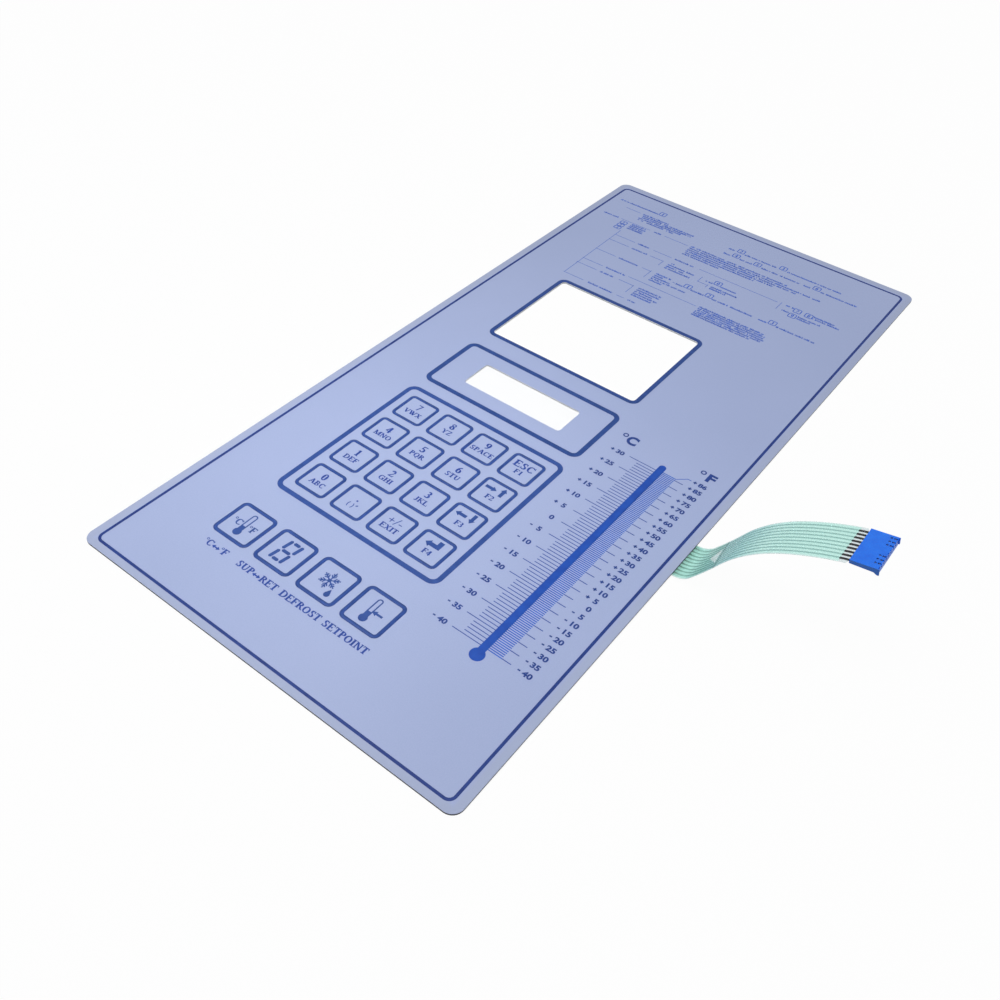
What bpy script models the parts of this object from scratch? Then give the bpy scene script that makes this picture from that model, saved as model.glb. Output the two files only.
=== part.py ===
"""Membrane keypad: a printed film panel of seven bonded layers, with a flat tail and a nine-way connector.

Blender 4.5 script, in metres, +Z up. The panel lies face up on its release liner, whose rear face is z = 0.
Its near edge is towards -Y. The tail leaves the right edge towards +X and stands up into the air.
"""
import math

import bmesh
import bpy
from mathutils import Vector

MM = 0.001

# Zones of the panel, added up to give its outline
LEFT_BAND = 43.4 * MM
CARD_WINDOW_WIDTH = 101.6 * MM
SCALE_BAND = 83.6 * MM
INSTRUCTION_ZONE = 143.4 * MM
CARD_WINDOW_LENGTH = 76.2 * MM
CARD_TO_DISPLAY = 27.8 * MM
DISPLAY_LENGTH = 21.8 * MM
DISPLAY_TO_KEYS = 38.2 * MM
KEY_ROW_PITCH = 24.6 * MM
KEYS_TO_FUNCTION_ROW = 46.2 * MM
FUNCTION_ROW_TO_EDGE = 55.2 * MM

# Other sizes in the plane of the panel
PANEL_CORNER = 6.0 * MM
CARD_WINDOW_CORNER = 2.4 * MM
DISPLAY_WIDTH = 66.6 * MM
DISPLAY_CORNER = 1.0 * MM
KEY_COLUMN_PITCH = 24.3 * MM
FUNCTION_PITCH = 27.9 * MM
KEY_CHAMBER = 14.0 * MM
FUNCTION_CHAMBER = 17.0 * MM
VENT_WIDTH = 1.2 * MM
KEY_ROWS = 4
KEY_COLUMNS = 4
ARC_STEPS = 8
CHAMBER_STEPS = 12

# Thickness of each layer, and the bond line between two layers
LINER_THICKNESS = 0.10 * MM
ADHESIVE_THICKNESS = 0.13 * MM
CIRCUIT_THICKNESS = 0.125 * MM
SPACER_THICKNESS = 0.15 * MM
OVERLAY_THICKNESS = 0.25 * MM
BOND_GAP = 0.02 * MM

# Flat tail, cut in one piece with the lower circuit film, as runs from the panel's edge to the connector
TRACKS = 9
TRACK_PITCH = 2.54 * MM
TAIL_FROM_NEAR_EDGE = 176.3 * MM
TAIL_ROOT = 0.3 * MM
CURL_RUN = 10.3 * MM
STEEP_RUN = 20.7 * MM
ARCH_RUN = 35.3 * MM
REACH_RUN = 27.4 * MM
LEVELLING_RUN = 2.6 * MM
TAIL_STEP = 1.2 * MM
TONGUE_STANDOFF = 0.4 * MM
TONGUE_TAPER = 0.6 * MM
TONGUE_DEPTH = 4.2 * MM

# Connector housing: x runs from its mouth to its mating end, and z = 0 is the film's middle surface
HOUSING_LENGTH = 12.55 * MM
FAR_END_WALL = 1.9 * MM
NEAR_END_WALL = 1.2 * MM
HOUSING_TOP = 1.2 * MM
HOUSING_EDGE = 0.12 * MM
MOUTH_BOTTOM = 0.7 * MM
HEEL_DROP = 0.45 * MM
LIP_DROP = 0.95 * MM
LIP_LENGTH = 0.9 * MM
LIP_RAMP = 1.4 * MM
SIDE_LIP_WIDTH = 0.5 * MM
MATING_FACE_RECESS = 0.5 * MM
ENTRY_WALL = 0.5 * MM
PIN_ENTRY = 1.0 * MM
WINDOW_SIZE = 0.95 * MM
WINDOW_FROM_MOUTH = 9.0 * MM
NOTCH_LENGTH = 1.6 * MM
EDGE_NOTCH_LENGTH = 0.3 * MM
WINDOWED_WAYS = (2, 3, 4, 7, 8, 9)

# Crimp contacts, with the film's tongue held between two jaws
CONTACT_WIDTH = 1.3 * MM
CRIMP_FROM_MOUTH = 0.8 * MM
CRIMP_THICKNESS = 0.2 * MM
CRIMP_GAP = 0.04 * MM
CRIMP_WEB = 0.5 * MM
RECEPTACLE_HEIGHT = 1.05 * MM
SOCKET_WALL = 0.2 * MM
SOCKET_DEPTH = 4.5 * MM

# Clearances, and how far a cutter runs past the face it opens
CONTACT_CLEARANCE = 0.12 * MM
FILM_CLEARANCE = 0.12 * MM
CUT_OVERRUN = 0.5 * MM

# Each run of the tail, with the slope in degrees at its end. It leaves the panel level.
TAIL_RUNS = (
    (CURL_RUN, 53.9),
    (STEEP_RUN, 59.7),
    (ARCH_RUN, 32.6),
    (REACH_RUN, 20.9),
    (LEVELLING_RUN, 11.7),
)

# Worked out from the sizes above
PANEL_WIDTH = LEFT_BAND + CARD_WINDOW_WIDTH + SCALE_BAND
PANEL_LENGTH = (INSTRUCTION_ZONE + CARD_WINDOW_LENGTH + CARD_TO_DISPLAY + DISPLAY_LENGTH + DISPLAY_TO_KEYS
                + (KEY_ROWS - 1) * KEY_ROW_PITCH + KEYS_TO_FUNCTION_ROW + FUNCTION_ROW_TO_EDGE)
RIGHT_EDGE = PANEL_WIDTH / 2
FAR_EDGE = PANEL_LENGTH / 2
NEAR_EDGE = -PANEL_LENGTH / 2
COLUMN_X = LEFT_BAND + CARD_WINDOW_WIDTH / 2 - PANEL_WIDTH / 2
CARD_WINDOW_Y = FAR_EDGE - INSTRUCTION_ZONE - CARD_WINDOW_LENGTH / 2
DISPLAY_Y = CARD_WINDOW_Y - CARD_WINDOW_LENGTH / 2 - CARD_TO_DISPLAY - DISPLAY_LENGTH / 2
FIRST_KEY_ROW_Y = DISPLAY_Y - DISPLAY_LENGTH / 2 - DISPLAY_TO_KEYS
FUNCTION_ROW_Y = NEAR_EDGE + FUNCTION_ROW_TO_EDGE
TAIL_Y = NEAR_EDGE + TAIL_FROM_NEAR_EDGE
TAIL_WIDTH = (TRACKS + 1) * TRACK_PITCH
TAIL_LENGTH = sum(run for run, slope in TAIL_RUNS)
CONTACT_SPAN = (TRACKS - 1) * TRACK_PITCH
TONGUE_WIDTH = CONTACT_SPAN + CONTACT_WIDTH
TONGUE_END = TONGUE_DEPTH + FILM_CLEARANCE
FILM_HALF = CIRCUIT_THICKNESS / 2
JAW_HALF = FILM_HALF + CRIMP_GAP
CRIMP_HALF = JAW_HALF + CRIMP_THICKNESS
RECEPTACLE_START = TONGUE_END + CRIMP_WEB
RECEPTACLE_TOP = RECEPTACLE_HEIGHT - CRIMP_HALF
HOUSING_WIDTH = CONTACT_SPAN + FAR_END_WALL + NEAR_END_WALL
HOUSING_CENTRE = (FAR_END_WALL - NEAR_END_WALL) / 2
MATING_FACE = HOUSING_LENGTH - MATING_FACE_RECESS
CAVITY_END = MATING_FACE - ENTRY_WALL
RECEPTACLE_END = CAVITY_END - CONTACT_CLEARANCE
CAVITY_HALF = CRIMP_HALF + CONTACT_CLEARANCE
CAVITY_WIDTH = CONTACT_WIDTH + 2 * CONTACT_CLEARANCE
HEEL_BOTTOM = -MOUTH_BOTTOM - HEEL_DROP
LIP_BOTTOM = HEEL_BOTTOM - LIP_DROP

# Layers from the table up: name, thickness, colour and roughness
LAYERS = (
    ("release_liner", LINER_THICKNESS, (0.80, 0.78, 0.72), 0.45),
    ("rear_adhesive", ADHESIVE_THICKNESS, (0.72, 0.70, 0.64), 0.50),
    ("lower_circuit_film", CIRCUIT_THICKNESS, (0.55, 0.86, 0.79), 0.30),
    ("circuit_spacer", SPACER_THICKNESS, (0.60, 0.62, 0.64), 0.50),
    ("upper_circuit_film", CIRCUIT_THICKNESS, (0.58, 0.84, 0.79), 0.30),
    ("overlay_adhesive", ADHESIVE_THICKNESS, (0.66, 0.66, 0.66), 0.50),
    ("graphic_overlay", OVERLAY_THICKNESS, (0.42, 0.47, 0.66), 0.40),
)
HOUSING_BLUE = (0.03, 0.20, 0.83)
CONTACT_TIN = (0.45, 0.45, 0.44)


def clear_scene():
    for obj in list(bpy.data.objects):
        bpy.data.objects.remove(obj)


def plain_material(name, colour, roughness, metallic=0.0):
    material = bpy.data.materials.new(name)
    material.use_nodes = True
    shader = material.node_tree.nodes["Principled BSDF"]
    shader.inputs["Base Color"].default_value = (*colour, 1.0)
    shader.inputs["Roughness"].default_value = roughness
    shader.inputs["Metallic"].default_value = metallic
    return material


def add_object(name, mesh, location=(0.0, 0.0, 0.0), parent=None):
    obj = bpy.data.objects.new(name, mesh)
    obj.location = location
    obj.parent = parent
    bpy.context.scene.collection.objects.link(obj)
    return obj


def finish_mesh(name, bm, material=None):
    """Turn a bmesh into a mesh with smooth round walls and sharp edges."""
    bmesh.ops.recalc_face_normals(bm, faces=bm.faces)
    mesh = bpy.data.meshes.new(name)
    bm.to_mesh(mesh)
    bm.free()
    mesh.shade_smooth()
    mesh.set_sharp_from_angle(angle=math.radians(30))
    if material:
        mesh.materials.append(material)
    return mesh


def extrude_faces(bm, faces, offset):
    """Draw flat faces out into closed solids."""
    raised = bmesh.ops.extrude_face_region(bm, geom=faces)["geom"]
    verts = [item for item in raised if isinstance(item, bmesh.types.BMVert)]
    bmesh.ops.translate(bm, verts=verts, vec=offset)


# Outlines: lists of points that run anticlockwise

def arc(centre, radius, start, end, steps):
    angles = [start + (end - start) * i / steps for i in range(steps + 1)]
    return [(centre[0] + radius * math.cos(a), centre[1] + radius * math.sin(a)) for a in angles]


def rounded_rectangle(centre, width, length, radius, right_side=()):
    """A rectangle with round corners. The points of right_side go between its two right corners."""
    dx = width / 2 - radius
    dy = length / 2 - radius
    quarter = math.pi / 2
    outline = arc((centre[0] + dx, centre[1] - dy), radius, -quarter, 0.0, ARC_STEPS)
    outline += right_side
    outline += arc((centre[0] + dx, centre[1] + dy), radius, 0.0, quarter, ARC_STEPS)
    outline += arc((centre[0] - dx, centre[1] + dy), radius, quarter, 2 * quarter, ARC_STEPS)
    outline += arc((centre[0] - dx, centre[1] - dy), radius, 2 * quarter, 3 * quarter, ARC_STEPS)
    return outline


def chamber_chain(centres, diameter):
    """Round key chambers in a straight line, joined by vent channels, as one outline."""
    radius = diameter / 2
    run = Vector(centres[-1]) - Vector(centres[0])
    heading = math.atan2(run.y, run.x)
    channel = math.asin(VENT_WIDTH / 2 / radius)
    outline = []
    for base, order in ((heading + math.pi, centres), (heading, centres[::-1])):
        for centre in order:
            turns_back = centre == order[-1]
            start = base if centre == order[0] else base + channel
            end = base + math.pi if turns_back else base + math.pi - channel
            half_round = arc(centre, radius, start, end, CHAMBER_STEPS)
            outline += half_round[:-1] if turns_back else half_round
    return outline


def key_columns():
    """Centres of the number keys, one list for each column."""
    first = COLUMN_X - (KEY_COLUMNS - 1) / 2 * KEY_COLUMN_PITCH
    rows = [FIRST_KEY_ROW_Y - row * KEY_ROW_PITCH for row in range(KEY_ROWS)]
    return [[(first + column * KEY_COLUMN_PITCH, y) for y in rows] for column in range(KEY_COLUMNS)]


def function_row():
    """Centres of the function keys, from left to right."""
    first = COLUMN_X - (KEY_COLUMNS - 1) / 2 * FUNCTION_PITCH
    return [(first + column * FUNCTION_PITCH, FUNCTION_ROW_Y) for column in range(KEY_COLUMNS)]


def panel_outline(with_tail_root):
    low = TAIL_Y - TAIL_WIDTH / 2
    high = TAIL_Y + TAIL_WIDTH / 2
    end = RIGHT_EDGE + TAIL_ROOT
    root = [(RIGHT_EDGE, low), (end, low), (end, high), (RIGHT_EDGE, high)] if with_tail_root else []
    return rounded_rectangle((0.0, 0.0), PANEL_WIDTH, PANEL_LENGTH, PANEL_CORNER, root)


def layer_outlines(name):
    """Edge of a layer, then its windows and chambers."""
    card_window = rounded_rectangle((COLUMN_X, CARD_WINDOW_Y), CARD_WINDOW_WIDTH, CARD_WINDOW_LENGTH,
                                    CARD_WINDOW_CORNER)
    outlines = [panel_outline(name == "lower_circuit_film"), card_window]
    if name != "graphic_overlay":
        outlines.append(rounded_rectangle((COLUMN_X, DISPLAY_Y), DISPLAY_WIDTH, DISPLAY_LENGTH, DISPLAY_CORNER))
    if name == "circuit_spacer":
        outlines += [chamber_chain(column, KEY_CHAMBER) for column in key_columns()]
        outlines.append(chamber_chain(function_row(), FUNCTION_CHAMBER))
    return outlines


def plate(outlines, thickness):
    """A flat sheet standing on z = 0: the first outline is its edge and the others are holes."""
    bm = bmesh.new()
    edges = []
    for outline in outlines:
        verts = [bm.verts.new((x, y, 0.0)) for x, y in outline]
        edges += [bm.edges.new(pair) for pair in zip(verts, verts[1:] + verts[:1])]
    bmesh.ops.triangle_fill(bm, use_beauty=True, edges=edges, normal=(0.0, 0.0, 1.0))
    extrude_faces(bm, bm.faces[:], (0.0, 0.0, thickness))
    return bm


# Tail

def tail_slope(distance):
    """Slope of the tail in radians at a distance along it from the panel's edge."""
    start, low = 0.0, 0.0
    for run, high in TAIL_RUNS:
        end = start + run
        if distance < end:
            return math.radians(low + (high - low) * (distance - start) / (end - start))
        start, low = end, high
    return math.radians(low)


def tail_stations():
    """Middle surface of the tail: x, height above its root, slope and width, for each station after the root."""
    shoulder = TAIL_LENGTH - TONGUE_STANDOFF - TONGUE_TAPER
    count = math.ceil(shoulder / TAIL_STEP)
    distances = [shoulder * i / count for i in range(1, count + 1)]
    distances += [shoulder + TONGUE_TAPER, TAIL_LENGTH, TAIL_LENGTH + TONGUE_DEPTH]
    stations = []
    x, z, before = RIGHT_EDGE + TAIL_ROOT, 0.0, 0.0
    for distance in distances:
        slope = tail_slope((before + distance) / 2)
        x += (distance - before) * math.cos(slope)
        z += (distance - before) * math.sin(slope)
        before = distance
        width = TONGUE_WIDTH if distance > shoulder else TAIL_WIDTH
        stations.append((x, z, tail_slope(distance), width))
    return stations


def extrude_tail(bm):
    """Draw the tail out of the root's end face, from station to station."""
    root_end = RIGHT_EDGE + TAIL_ROOT
    end_face = max(bm.faces, key=lambda face: min(vert.co.x for vert in face.verts) - root_end)
    for x, z, slope, width in tail_stations():
        end_face = bmesh.ops.extrude_discrete_faces(bm, faces=[end_face])["faces"][0]
        old_centre = end_face.calc_center_median()
        up = Vector((-math.sin(slope), 0.0, math.cos(slope)))
        for vert in end_face.verts:
            across = math.copysign(width / 2, vert.co.y - old_centre.y)
            above = math.copysign(FILM_HALF, (vert.co - old_centre).dot(up))
            vert.co = Vector((x, TAIL_Y + across, FILM_HALF + z)) + up * above


def build_layers():
    """Stack the layers from the table up, and return the height of the lower circuit film."""
    bottom = 0.0
    film_height = 0.0
    for name, thickness, colour, roughness in LAYERS:
        bm = plate(layer_outlines(name), thickness)
        if name == "lower_circuit_film":
            extrude_tail(bm)
            film_height = bottom
        add_object(name, finish_mesh(name, bm, plain_material(name, colour, roughness)), (0.0, 0.0, bottom))
        bottom += thickness + BOND_GAP
    return film_height


# Connector

def side_profile(points, width, centres=(0.0,)):
    """Solids with one side view in x and z, each of the given width across its centre in y."""
    bm = bmesh.new()
    for centre in centres:
        face = bm.faces.new([bm.verts.new((x, centre - width / 2, z)) for x, z in points])
        extrude_faces(bm, [face], (0.0, width, 0.0))
    return bm


def box_profile(start, end, low, high):
    return [(start, low), (end, low), (end, high), (start, high)]


def cut(target, name, bm):
    """Cut a shape out of target, in target's own coordinates."""
    cutter = add_object(name, finish_mesh(name, bm), parent=target)
    cutter.hide_render = True
    cutter.display_type = "WIRE"
    modifier = target.modifiers.new(name, "BOOLEAN")
    modifier.operation = "DIFFERENCE"
    modifier.solver = "EXACT"
    modifier.object = cutter


def contact_centres():
    return [(way - (TRACKS - 1) / 2) * TRACK_PITCH for way in range(TRACKS)]


def build_housing(mount):
    heel = HOUSING_LENGTH - LIP_LENGTH - LIP_RAMP
    outside = [
        (0.0, -MOUTH_BOTTOM),
        (heel, HEEL_BOTTOM),
        (heel + LIP_RAMP, LIP_BOTTOM),
        (HOUSING_LENGTH, LIP_BOTTOM),
        (HOUSING_LENGTH, HOUSING_TOP),
        (0.0, HOUSING_TOP),
    ]
    body = side_profile(outside, HOUSING_WIDTH, [HOUSING_CENTRE])
    bmesh.ops.bevel(body, geom=body.edges[:], offset=HOUSING_EDGE, affect="EDGES", profile=0.5)
    material = plain_material("connector_housing", HOUSING_BLUE, 0.35)
    housing = add_object("connector_housing", finish_mesh("connector_housing", body, material), parent=mount)

    ways = contact_centres()
    cavity = [
        (-CUT_OVERRUN, -CAVITY_HALF),
        (CAVITY_END, -CAVITY_HALF),
        (CAVITY_END, RECEPTACLE_TOP + CONTACT_CLEARANCE),
        (RECEPTACLE_START - CONTACT_CLEARANCE, RECEPTACLE_TOP + CONTACT_CLEARANCE),
        (RECEPTACLE_START - CONTACT_CLEARANCE, CAVITY_HALF),
        (-CUT_OVERRUN, CAVITY_HALF),
    ]
    cut(housing, "cutter_contact_cavities", side_profile(cavity, CAVITY_WIDTH, ways))

    slot_half = FILM_HALF + FILM_CLEARANCE
    slot = box_profile(-CUT_OVERRUN, TONGUE_END, -slot_half, slot_half)
    cut(housing, "cutter_film_slot", side_profile(slot, TONGUE_WIDTH + 2 * FILM_CLEARANCE))

    recess = box_profile(MATING_FACE, HOUSING_LENGTH + CUT_OVERRUN, LIP_BOTTOM - CUT_OVERRUN,
                         HOUSING_TOP + CUT_OVERRUN)
    recess_width = HOUSING_WIDTH - 2 * SIDE_LIP_WIDTH
    cut(housing, "cutter_mating_face", side_profile(recess, recess_width, [HOUSING_CENTRE]))

    pin_height = RECEPTACLE_TOP - RECEPTACLE_HEIGHT / 2
    entry = box_profile(CAVITY_END - CUT_OVERRUN, MATING_FACE + CUT_OVERRUN, pin_height - PIN_ENTRY / 2,
                        pin_height + PIN_ENTRY / 2)
    cut(housing, "cutter_pin_entries", side_profile(entry, PIN_ENTRY, ways))

    windowed = [ways[way - 1] for way in WINDOWED_WAYS]
    window = box_profile(WINDOW_FROM_MOUTH, WINDOW_FROM_MOUTH + WINDOW_SIZE, 0.0, HOUSING_TOP + CUT_OVERRUN)
    cut(housing, "cutter_windows", side_profile(window, WINDOW_SIZE, windowed))

    plain = [centre for centre in ways if centre not in windowed]
    for name, length, centres in (("cutter_notches", NOTCH_LENGTH, windowed),
                                  ("cutter_edge_notches", EDGE_NOTCH_LENGTH, plain)):
        notch = box_profile(MATING_FACE - length, MATING_FACE + CUT_OVERRUN, RECEPTACLE_TOP,
                            HOUSING_TOP + CUT_OVERRUN)
        cut(housing, name, side_profile(notch, WINDOW_SIZE, centres))


def build_contacts(mount):
    """Nine equal contacts: two jaws over the film at the rear and a socket for a pin at the front."""
    outside = [
        (CRIMP_FROM_MOUTH, -CRIMP_HALF),
        (RECEPTACLE_END, -CRIMP_HALF),
        (RECEPTACLE_END, RECEPTACLE_TOP),
        (RECEPTACLE_START, RECEPTACLE_TOP),
        (RECEPTACLE_START, CRIMP_HALF),
        (CRIMP_FROM_MOUTH, CRIMP_HALF),
        (CRIMP_FROM_MOUTH, JAW_HALF),
        (TONGUE_END, JAW_HALF),
        (TONGUE_END, -JAW_HALF),
        (CRIMP_FROM_MOUTH, -JAW_HALF),
    ]
    bm = side_profile(outside, CONTACT_WIDTH)
    front = max(bm.faces, key=lambda face: min(vert.co.x for vert in face.verts))
    bmesh.ops.inset_individual(bm, faces=[front], thickness=SOCKET_WALL)
    socket = bmesh.ops.extrude_discrete_faces(bm, faces=[front])["faces"][0]
    bmesh.ops.translate(bm, verts=socket.verts, vec=(-SOCKET_DEPTH, 0.0, 0.0))
    mesh = finish_mesh("crimp_contact", bm, plain_material("crimp_contact", CONTACT_TIN, 0.35, 1.0))
    for way, centre in enumerate(contact_centres(), start=1):
        add_object(f"crimp_contact_{way}", mesh, (0.0, centre, 0.0), mount)


def build_connector(film_height):
    """Place the connector on the tail's end, turned to the slope that the film has there."""
    mouth_x, rise, slope, width = tail_stations()[-2]
    mount = add_object("connector_mount", None, (mouth_x, TAIL_Y, film_height + FILM_HALF + rise))
    mount.rotation_euler = (0.0, -slope, 0.0)
    build_housing(mount)
    build_contacts(mount)


def main():
    clear_scene()
    film_height = build_layers()
    build_connector(film_height)


main()
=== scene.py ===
# %% [markdown]
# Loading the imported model
# The measured model of the membrane keypad comes first. It is a printed film laminate with two
# windows, and a flexible tail that ends in a nine-way plug. Everything made below is set against it,
# in metres, with the panel's rear face on the ground and its print facing up.

# %% Load the frame and keep its size
import math

import bmesh
import bpy
from mathutils import Matrix, Vector
from mathutils.geometry import tessellate_polygon


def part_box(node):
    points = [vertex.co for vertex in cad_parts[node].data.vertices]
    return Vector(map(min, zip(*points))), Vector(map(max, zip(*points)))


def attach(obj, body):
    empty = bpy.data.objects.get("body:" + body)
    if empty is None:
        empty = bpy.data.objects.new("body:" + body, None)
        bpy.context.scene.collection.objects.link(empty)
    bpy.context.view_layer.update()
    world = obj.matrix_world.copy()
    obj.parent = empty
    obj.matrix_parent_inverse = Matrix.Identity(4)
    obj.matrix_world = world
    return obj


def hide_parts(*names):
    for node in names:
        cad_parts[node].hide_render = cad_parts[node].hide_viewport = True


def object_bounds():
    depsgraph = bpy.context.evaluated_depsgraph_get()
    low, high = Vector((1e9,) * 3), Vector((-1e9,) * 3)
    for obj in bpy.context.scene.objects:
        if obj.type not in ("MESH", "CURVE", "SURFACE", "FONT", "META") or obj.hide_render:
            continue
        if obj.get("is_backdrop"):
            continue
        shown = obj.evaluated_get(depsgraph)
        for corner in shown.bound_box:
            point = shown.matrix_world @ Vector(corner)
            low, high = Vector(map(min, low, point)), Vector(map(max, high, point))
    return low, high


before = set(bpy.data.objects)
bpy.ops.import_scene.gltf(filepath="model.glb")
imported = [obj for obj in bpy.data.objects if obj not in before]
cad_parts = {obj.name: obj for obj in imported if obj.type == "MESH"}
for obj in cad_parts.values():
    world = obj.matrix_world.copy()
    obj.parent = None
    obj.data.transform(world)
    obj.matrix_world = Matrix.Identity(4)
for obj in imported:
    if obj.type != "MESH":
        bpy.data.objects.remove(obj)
cad_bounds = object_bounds()
MM = 0.001
low, high = (Vector(corner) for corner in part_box("graphic_overlay"))
PRINT_Z = high.z
print("panel", round((high.x - low.x) / MM, 1), "by", round((high.y - low.y) / MM, 1), "mm")

# %% [markdown]
# The photographer's place
# The object is seen from above its near right corner, turned so that the long panel runs from the
# lower left to the upper right. A camera can be aimed with a constraint or turned by hand. Here its
# own three axes are written down as the columns of a matrix, because they were worked out from the
# panel's four corners and need no further aiming.

# %% Camera
CAMERA_PLACE = (0.22701, -0.39289, 0.36007)


def add_object(name, data):
    result = bpy.data.objects.new(name, data)
    bpy.context.scene.collection.objects.link(result)
    return result


looking = Vector((-0.40179, 0.58900, -0.70117)).normalized()
rightward = Vector((0.79261, 0.60716, 0.05585))
rightward = (rightward - looking * rightward.dot(looking)).normalized()
upward = rightward.cross(looking)
lens_data = bpy.data.cameras.new("catalogue_camera")
lens_data.lens = 36.30
lens_data.sensor_width = 36.0
lens_data.clip_start = 0.01
camera = add_object("catalogue_camera", lens_data)
turn = Matrix((rightward, upward, -looking)).transposed().to_4x4()
camera.matrix_world = Matrix.Translation(CAMERA_PLACE) @ turn
bpy.context.scene.camera = camera
print("camera", [round(value, 3) for value in camera.location])

# %% [markdown]
# Writing materials as sums
# A material is a tree of nodes, and placing nodes one by one hides what they compute. Two small
# classes help: a bench adds any node with its settings and inputs, and a wire stands for one
# output, so that ordinary signs such as + and * add the Math nodes.

# %% A bench for nodes and a wire for their outputs
class Wire:
    def __init__(self, bench, socket):
        self.bench = bench
        self.socket = socket

    def maths(self, operation, first, second=0.0):
        values = {0: first, 1: second}
        return self.bench.add("ShaderNodeMath", {"operation": operation}, values)

    def __add__(self, other):
        return self.maths("ADD", self, other)

    def __sub__(self, other):
        return self.maths("SUBTRACT", self, other)

    def __rsub__(self, other):
        return self.maths("SUBTRACT", other, self)

    def __mul__(self, other):
        return self.maths("MULTIPLY", self, other)

    def __truediv__(self, other):
        return self.maths("DIVIDE", self, other)

    def __abs__(self):
        return self.maths("ABSOLUTE", self)

    def lower_of(self, other):
        return self.maths("MINIMUM", self, other)


class Bench:
    def __init__(self, tree):
        self.tree = tree

    def add(self, kind, settings=None, inputs=None, output=0):
        node = self.tree.nodes.new(kind)
        for name, value in (settings or {}).items():
            if name == "stops":
                set_stops(node.color_ramp, value)
            else:
                setattr(node, name, value)
        for name, value in (inputs or {}).items():
            if isinstance(value, (Wire, list)):
                for wire in value if isinstance(value, list) else [value]:
                    self.tree.links.new(wire.socket, node.inputs[name])
            else:
                node.inputs[name].default_value = value
        return Wire(self, node.outputs[output])


def set_stops(ramp, stops):
    while len(ramp.elements) < len(stops):
        ramp.elements.new(0.5)
    for element, (place, colour) in zip(ramp.elements, stops):
        element.position = place
        element.color = colour


print("bench ready")

# %% [markdown]
# Colours by eye and by number
# Screens store colours on a curve, while the renderer adds up plain amounts of light. Written
# colours are easier to judge as screen values from 0 to 255, so one function turns them into
# amounts of light. The other helpers begin a material and blend two colours by a mask.

# %% Colour and material helpers
def paint(red, green, blue):
    amounts = []
    for value in (red, green, blue):
        share = value / 255
        amounts.append(share / 12.92 if share <= 0.04045 else ((share + 0.055) / 1.055) ** 2.4)
    return (*amounts, 1.0)


class Finish(Bench):
    def __init__(self, name):
        self.material = bpy.data.materials.new(name)
        self.material.use_nodes = True
        super().__init__(self.material.node_tree)
        self.shader = self.tree.nodes["Principled BSDF"]
        self.place = self.add("ShaderNodeTexCoord", output="Object")

    def noise(self, size, detail=2.0, roughness=0.5, stretch=None):
        place = self.place
        if stretch:
            place = self.add("ShaderNodeMapping", None, {"Vector": place, "Scale": stretch})
        values = {"Vector": place, "Scale": 1 / size, "Detail": detail, "Roughness": roughness}
        return self.add("ShaderNodeTexNoise", None, values)

    def blend(self, mask, first, second):
        values = {0: mask, 6: first, 7: second}
        return self.add("ShaderNodeMix", {"data_type": "RGBA"}, values, 2)

    def spread(self, value, lowest, highest, start=0.0, end=1.0):
        values = {0: value, 1: lowest, 2: highest, 3: start, 4: end}
        return self.add("ShaderNodeMapRange", {"clamp": True}, values)

    def swing(self, noise, start=0.0, end=1.0):
        """Noise mostly stays between 0.3 and 0.7, so that stretch is taken as its whole range."""
        return self.spread(noise, 0.3, 0.7, start, end)

    def axis(self, number):
        return self.add("ShaderNodeSeparateXYZ", None, {0: self.place}, number)

    def bump(self, height, strength, distance):
        values = {"Height": height, "Strength": strength, "Distance": distance}
        return self.add("ShaderNodeBump", None, values)

    def set(self, **inputs):
        for name, value in inputs.items():
            socket = self.shader.inputs[name.replace("_", " ")]
            if isinstance(value, Wire):
                self.tree.links.new(value.socket, socket)
            else:
                socket.default_value = value
        return self.material


print("white paper", [round(value, 3) for value in paint(250, 250, 250)])

# %% [markdown]
# A white sweep to stand on
# Catalogue pictures are taken on a white sweep that almost loses its own shadow. A plain floor does
# the same work. Its material is white for the camera, mixed with a little ordinary paint that still
# catches the shadow, and plain paint for every other ray, so it lights the object as paper would.

# %% Floor
REACH, FLOOR_HEIGHT = 6.0, -0.0003
GLOW_SHARE = 0.97


def white_sweep():
    finish = Finish("sweep_paper")
    colour = finish.blend(finish.noise(0.02), paint(204, 204, 206), paint(210, 210, 211))
    matt = finish.add("ShaderNodeBsdfDiffuse", None, {"Color": colour})
    glow = finish.add("ShaderNodeEmission", None, {"Color": (1, 1, 1, 1), "Strength": 1.0})
    rays = finish.add("ShaderNodeLightPath").socket.node.outputs
    seen = [Wire(finish, rays[name]) for name in
            ("Is Camera Ray", "Is Glossy Ray", "Is Transmission Ray")]
    share = (seen[0] + seen[1] + seen[2]) * GLOW_SHARE
    surface = finish.add("ShaderNodeMixShader", None, {0: share, 1: matt, 2: glow})
    output = finish.tree.nodes["Material Output"]
    finish.tree.links.new(surface.socket, output.inputs["Surface"])
    return finish.material


corners = [(x * REACH, y * REACH, FLOOR_HEIGHT) for x, y in ((-1, -1), (1, -1), (1, 1), (-1, 1))]
paper = bpy.data.meshes.new("studio_floor")
paper.from_pydata(corners, [], [(0, 1, 2, 3)])
paper.materials.append(white_sweep())
floor = add_object("studio_floor", paper)
floor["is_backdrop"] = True
print("floor reaches", REACH, "m")

# %% [markdown]
# Soft light
# The print is even, and a little lighter round the keys than at the far and right ends. Walls that
# face the camera are dark, so most of the light comes from overhead and from behind. A sky that
# fades towards the near side gives both. A large lamp makes up the level. It hangs over the near
# left and is aimed at the far end, so that the camera doesn't see its reflection in the film. A
# lower one leaves a soft pool of light on the keys, and a weak one behind edges the plug and tail.

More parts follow.
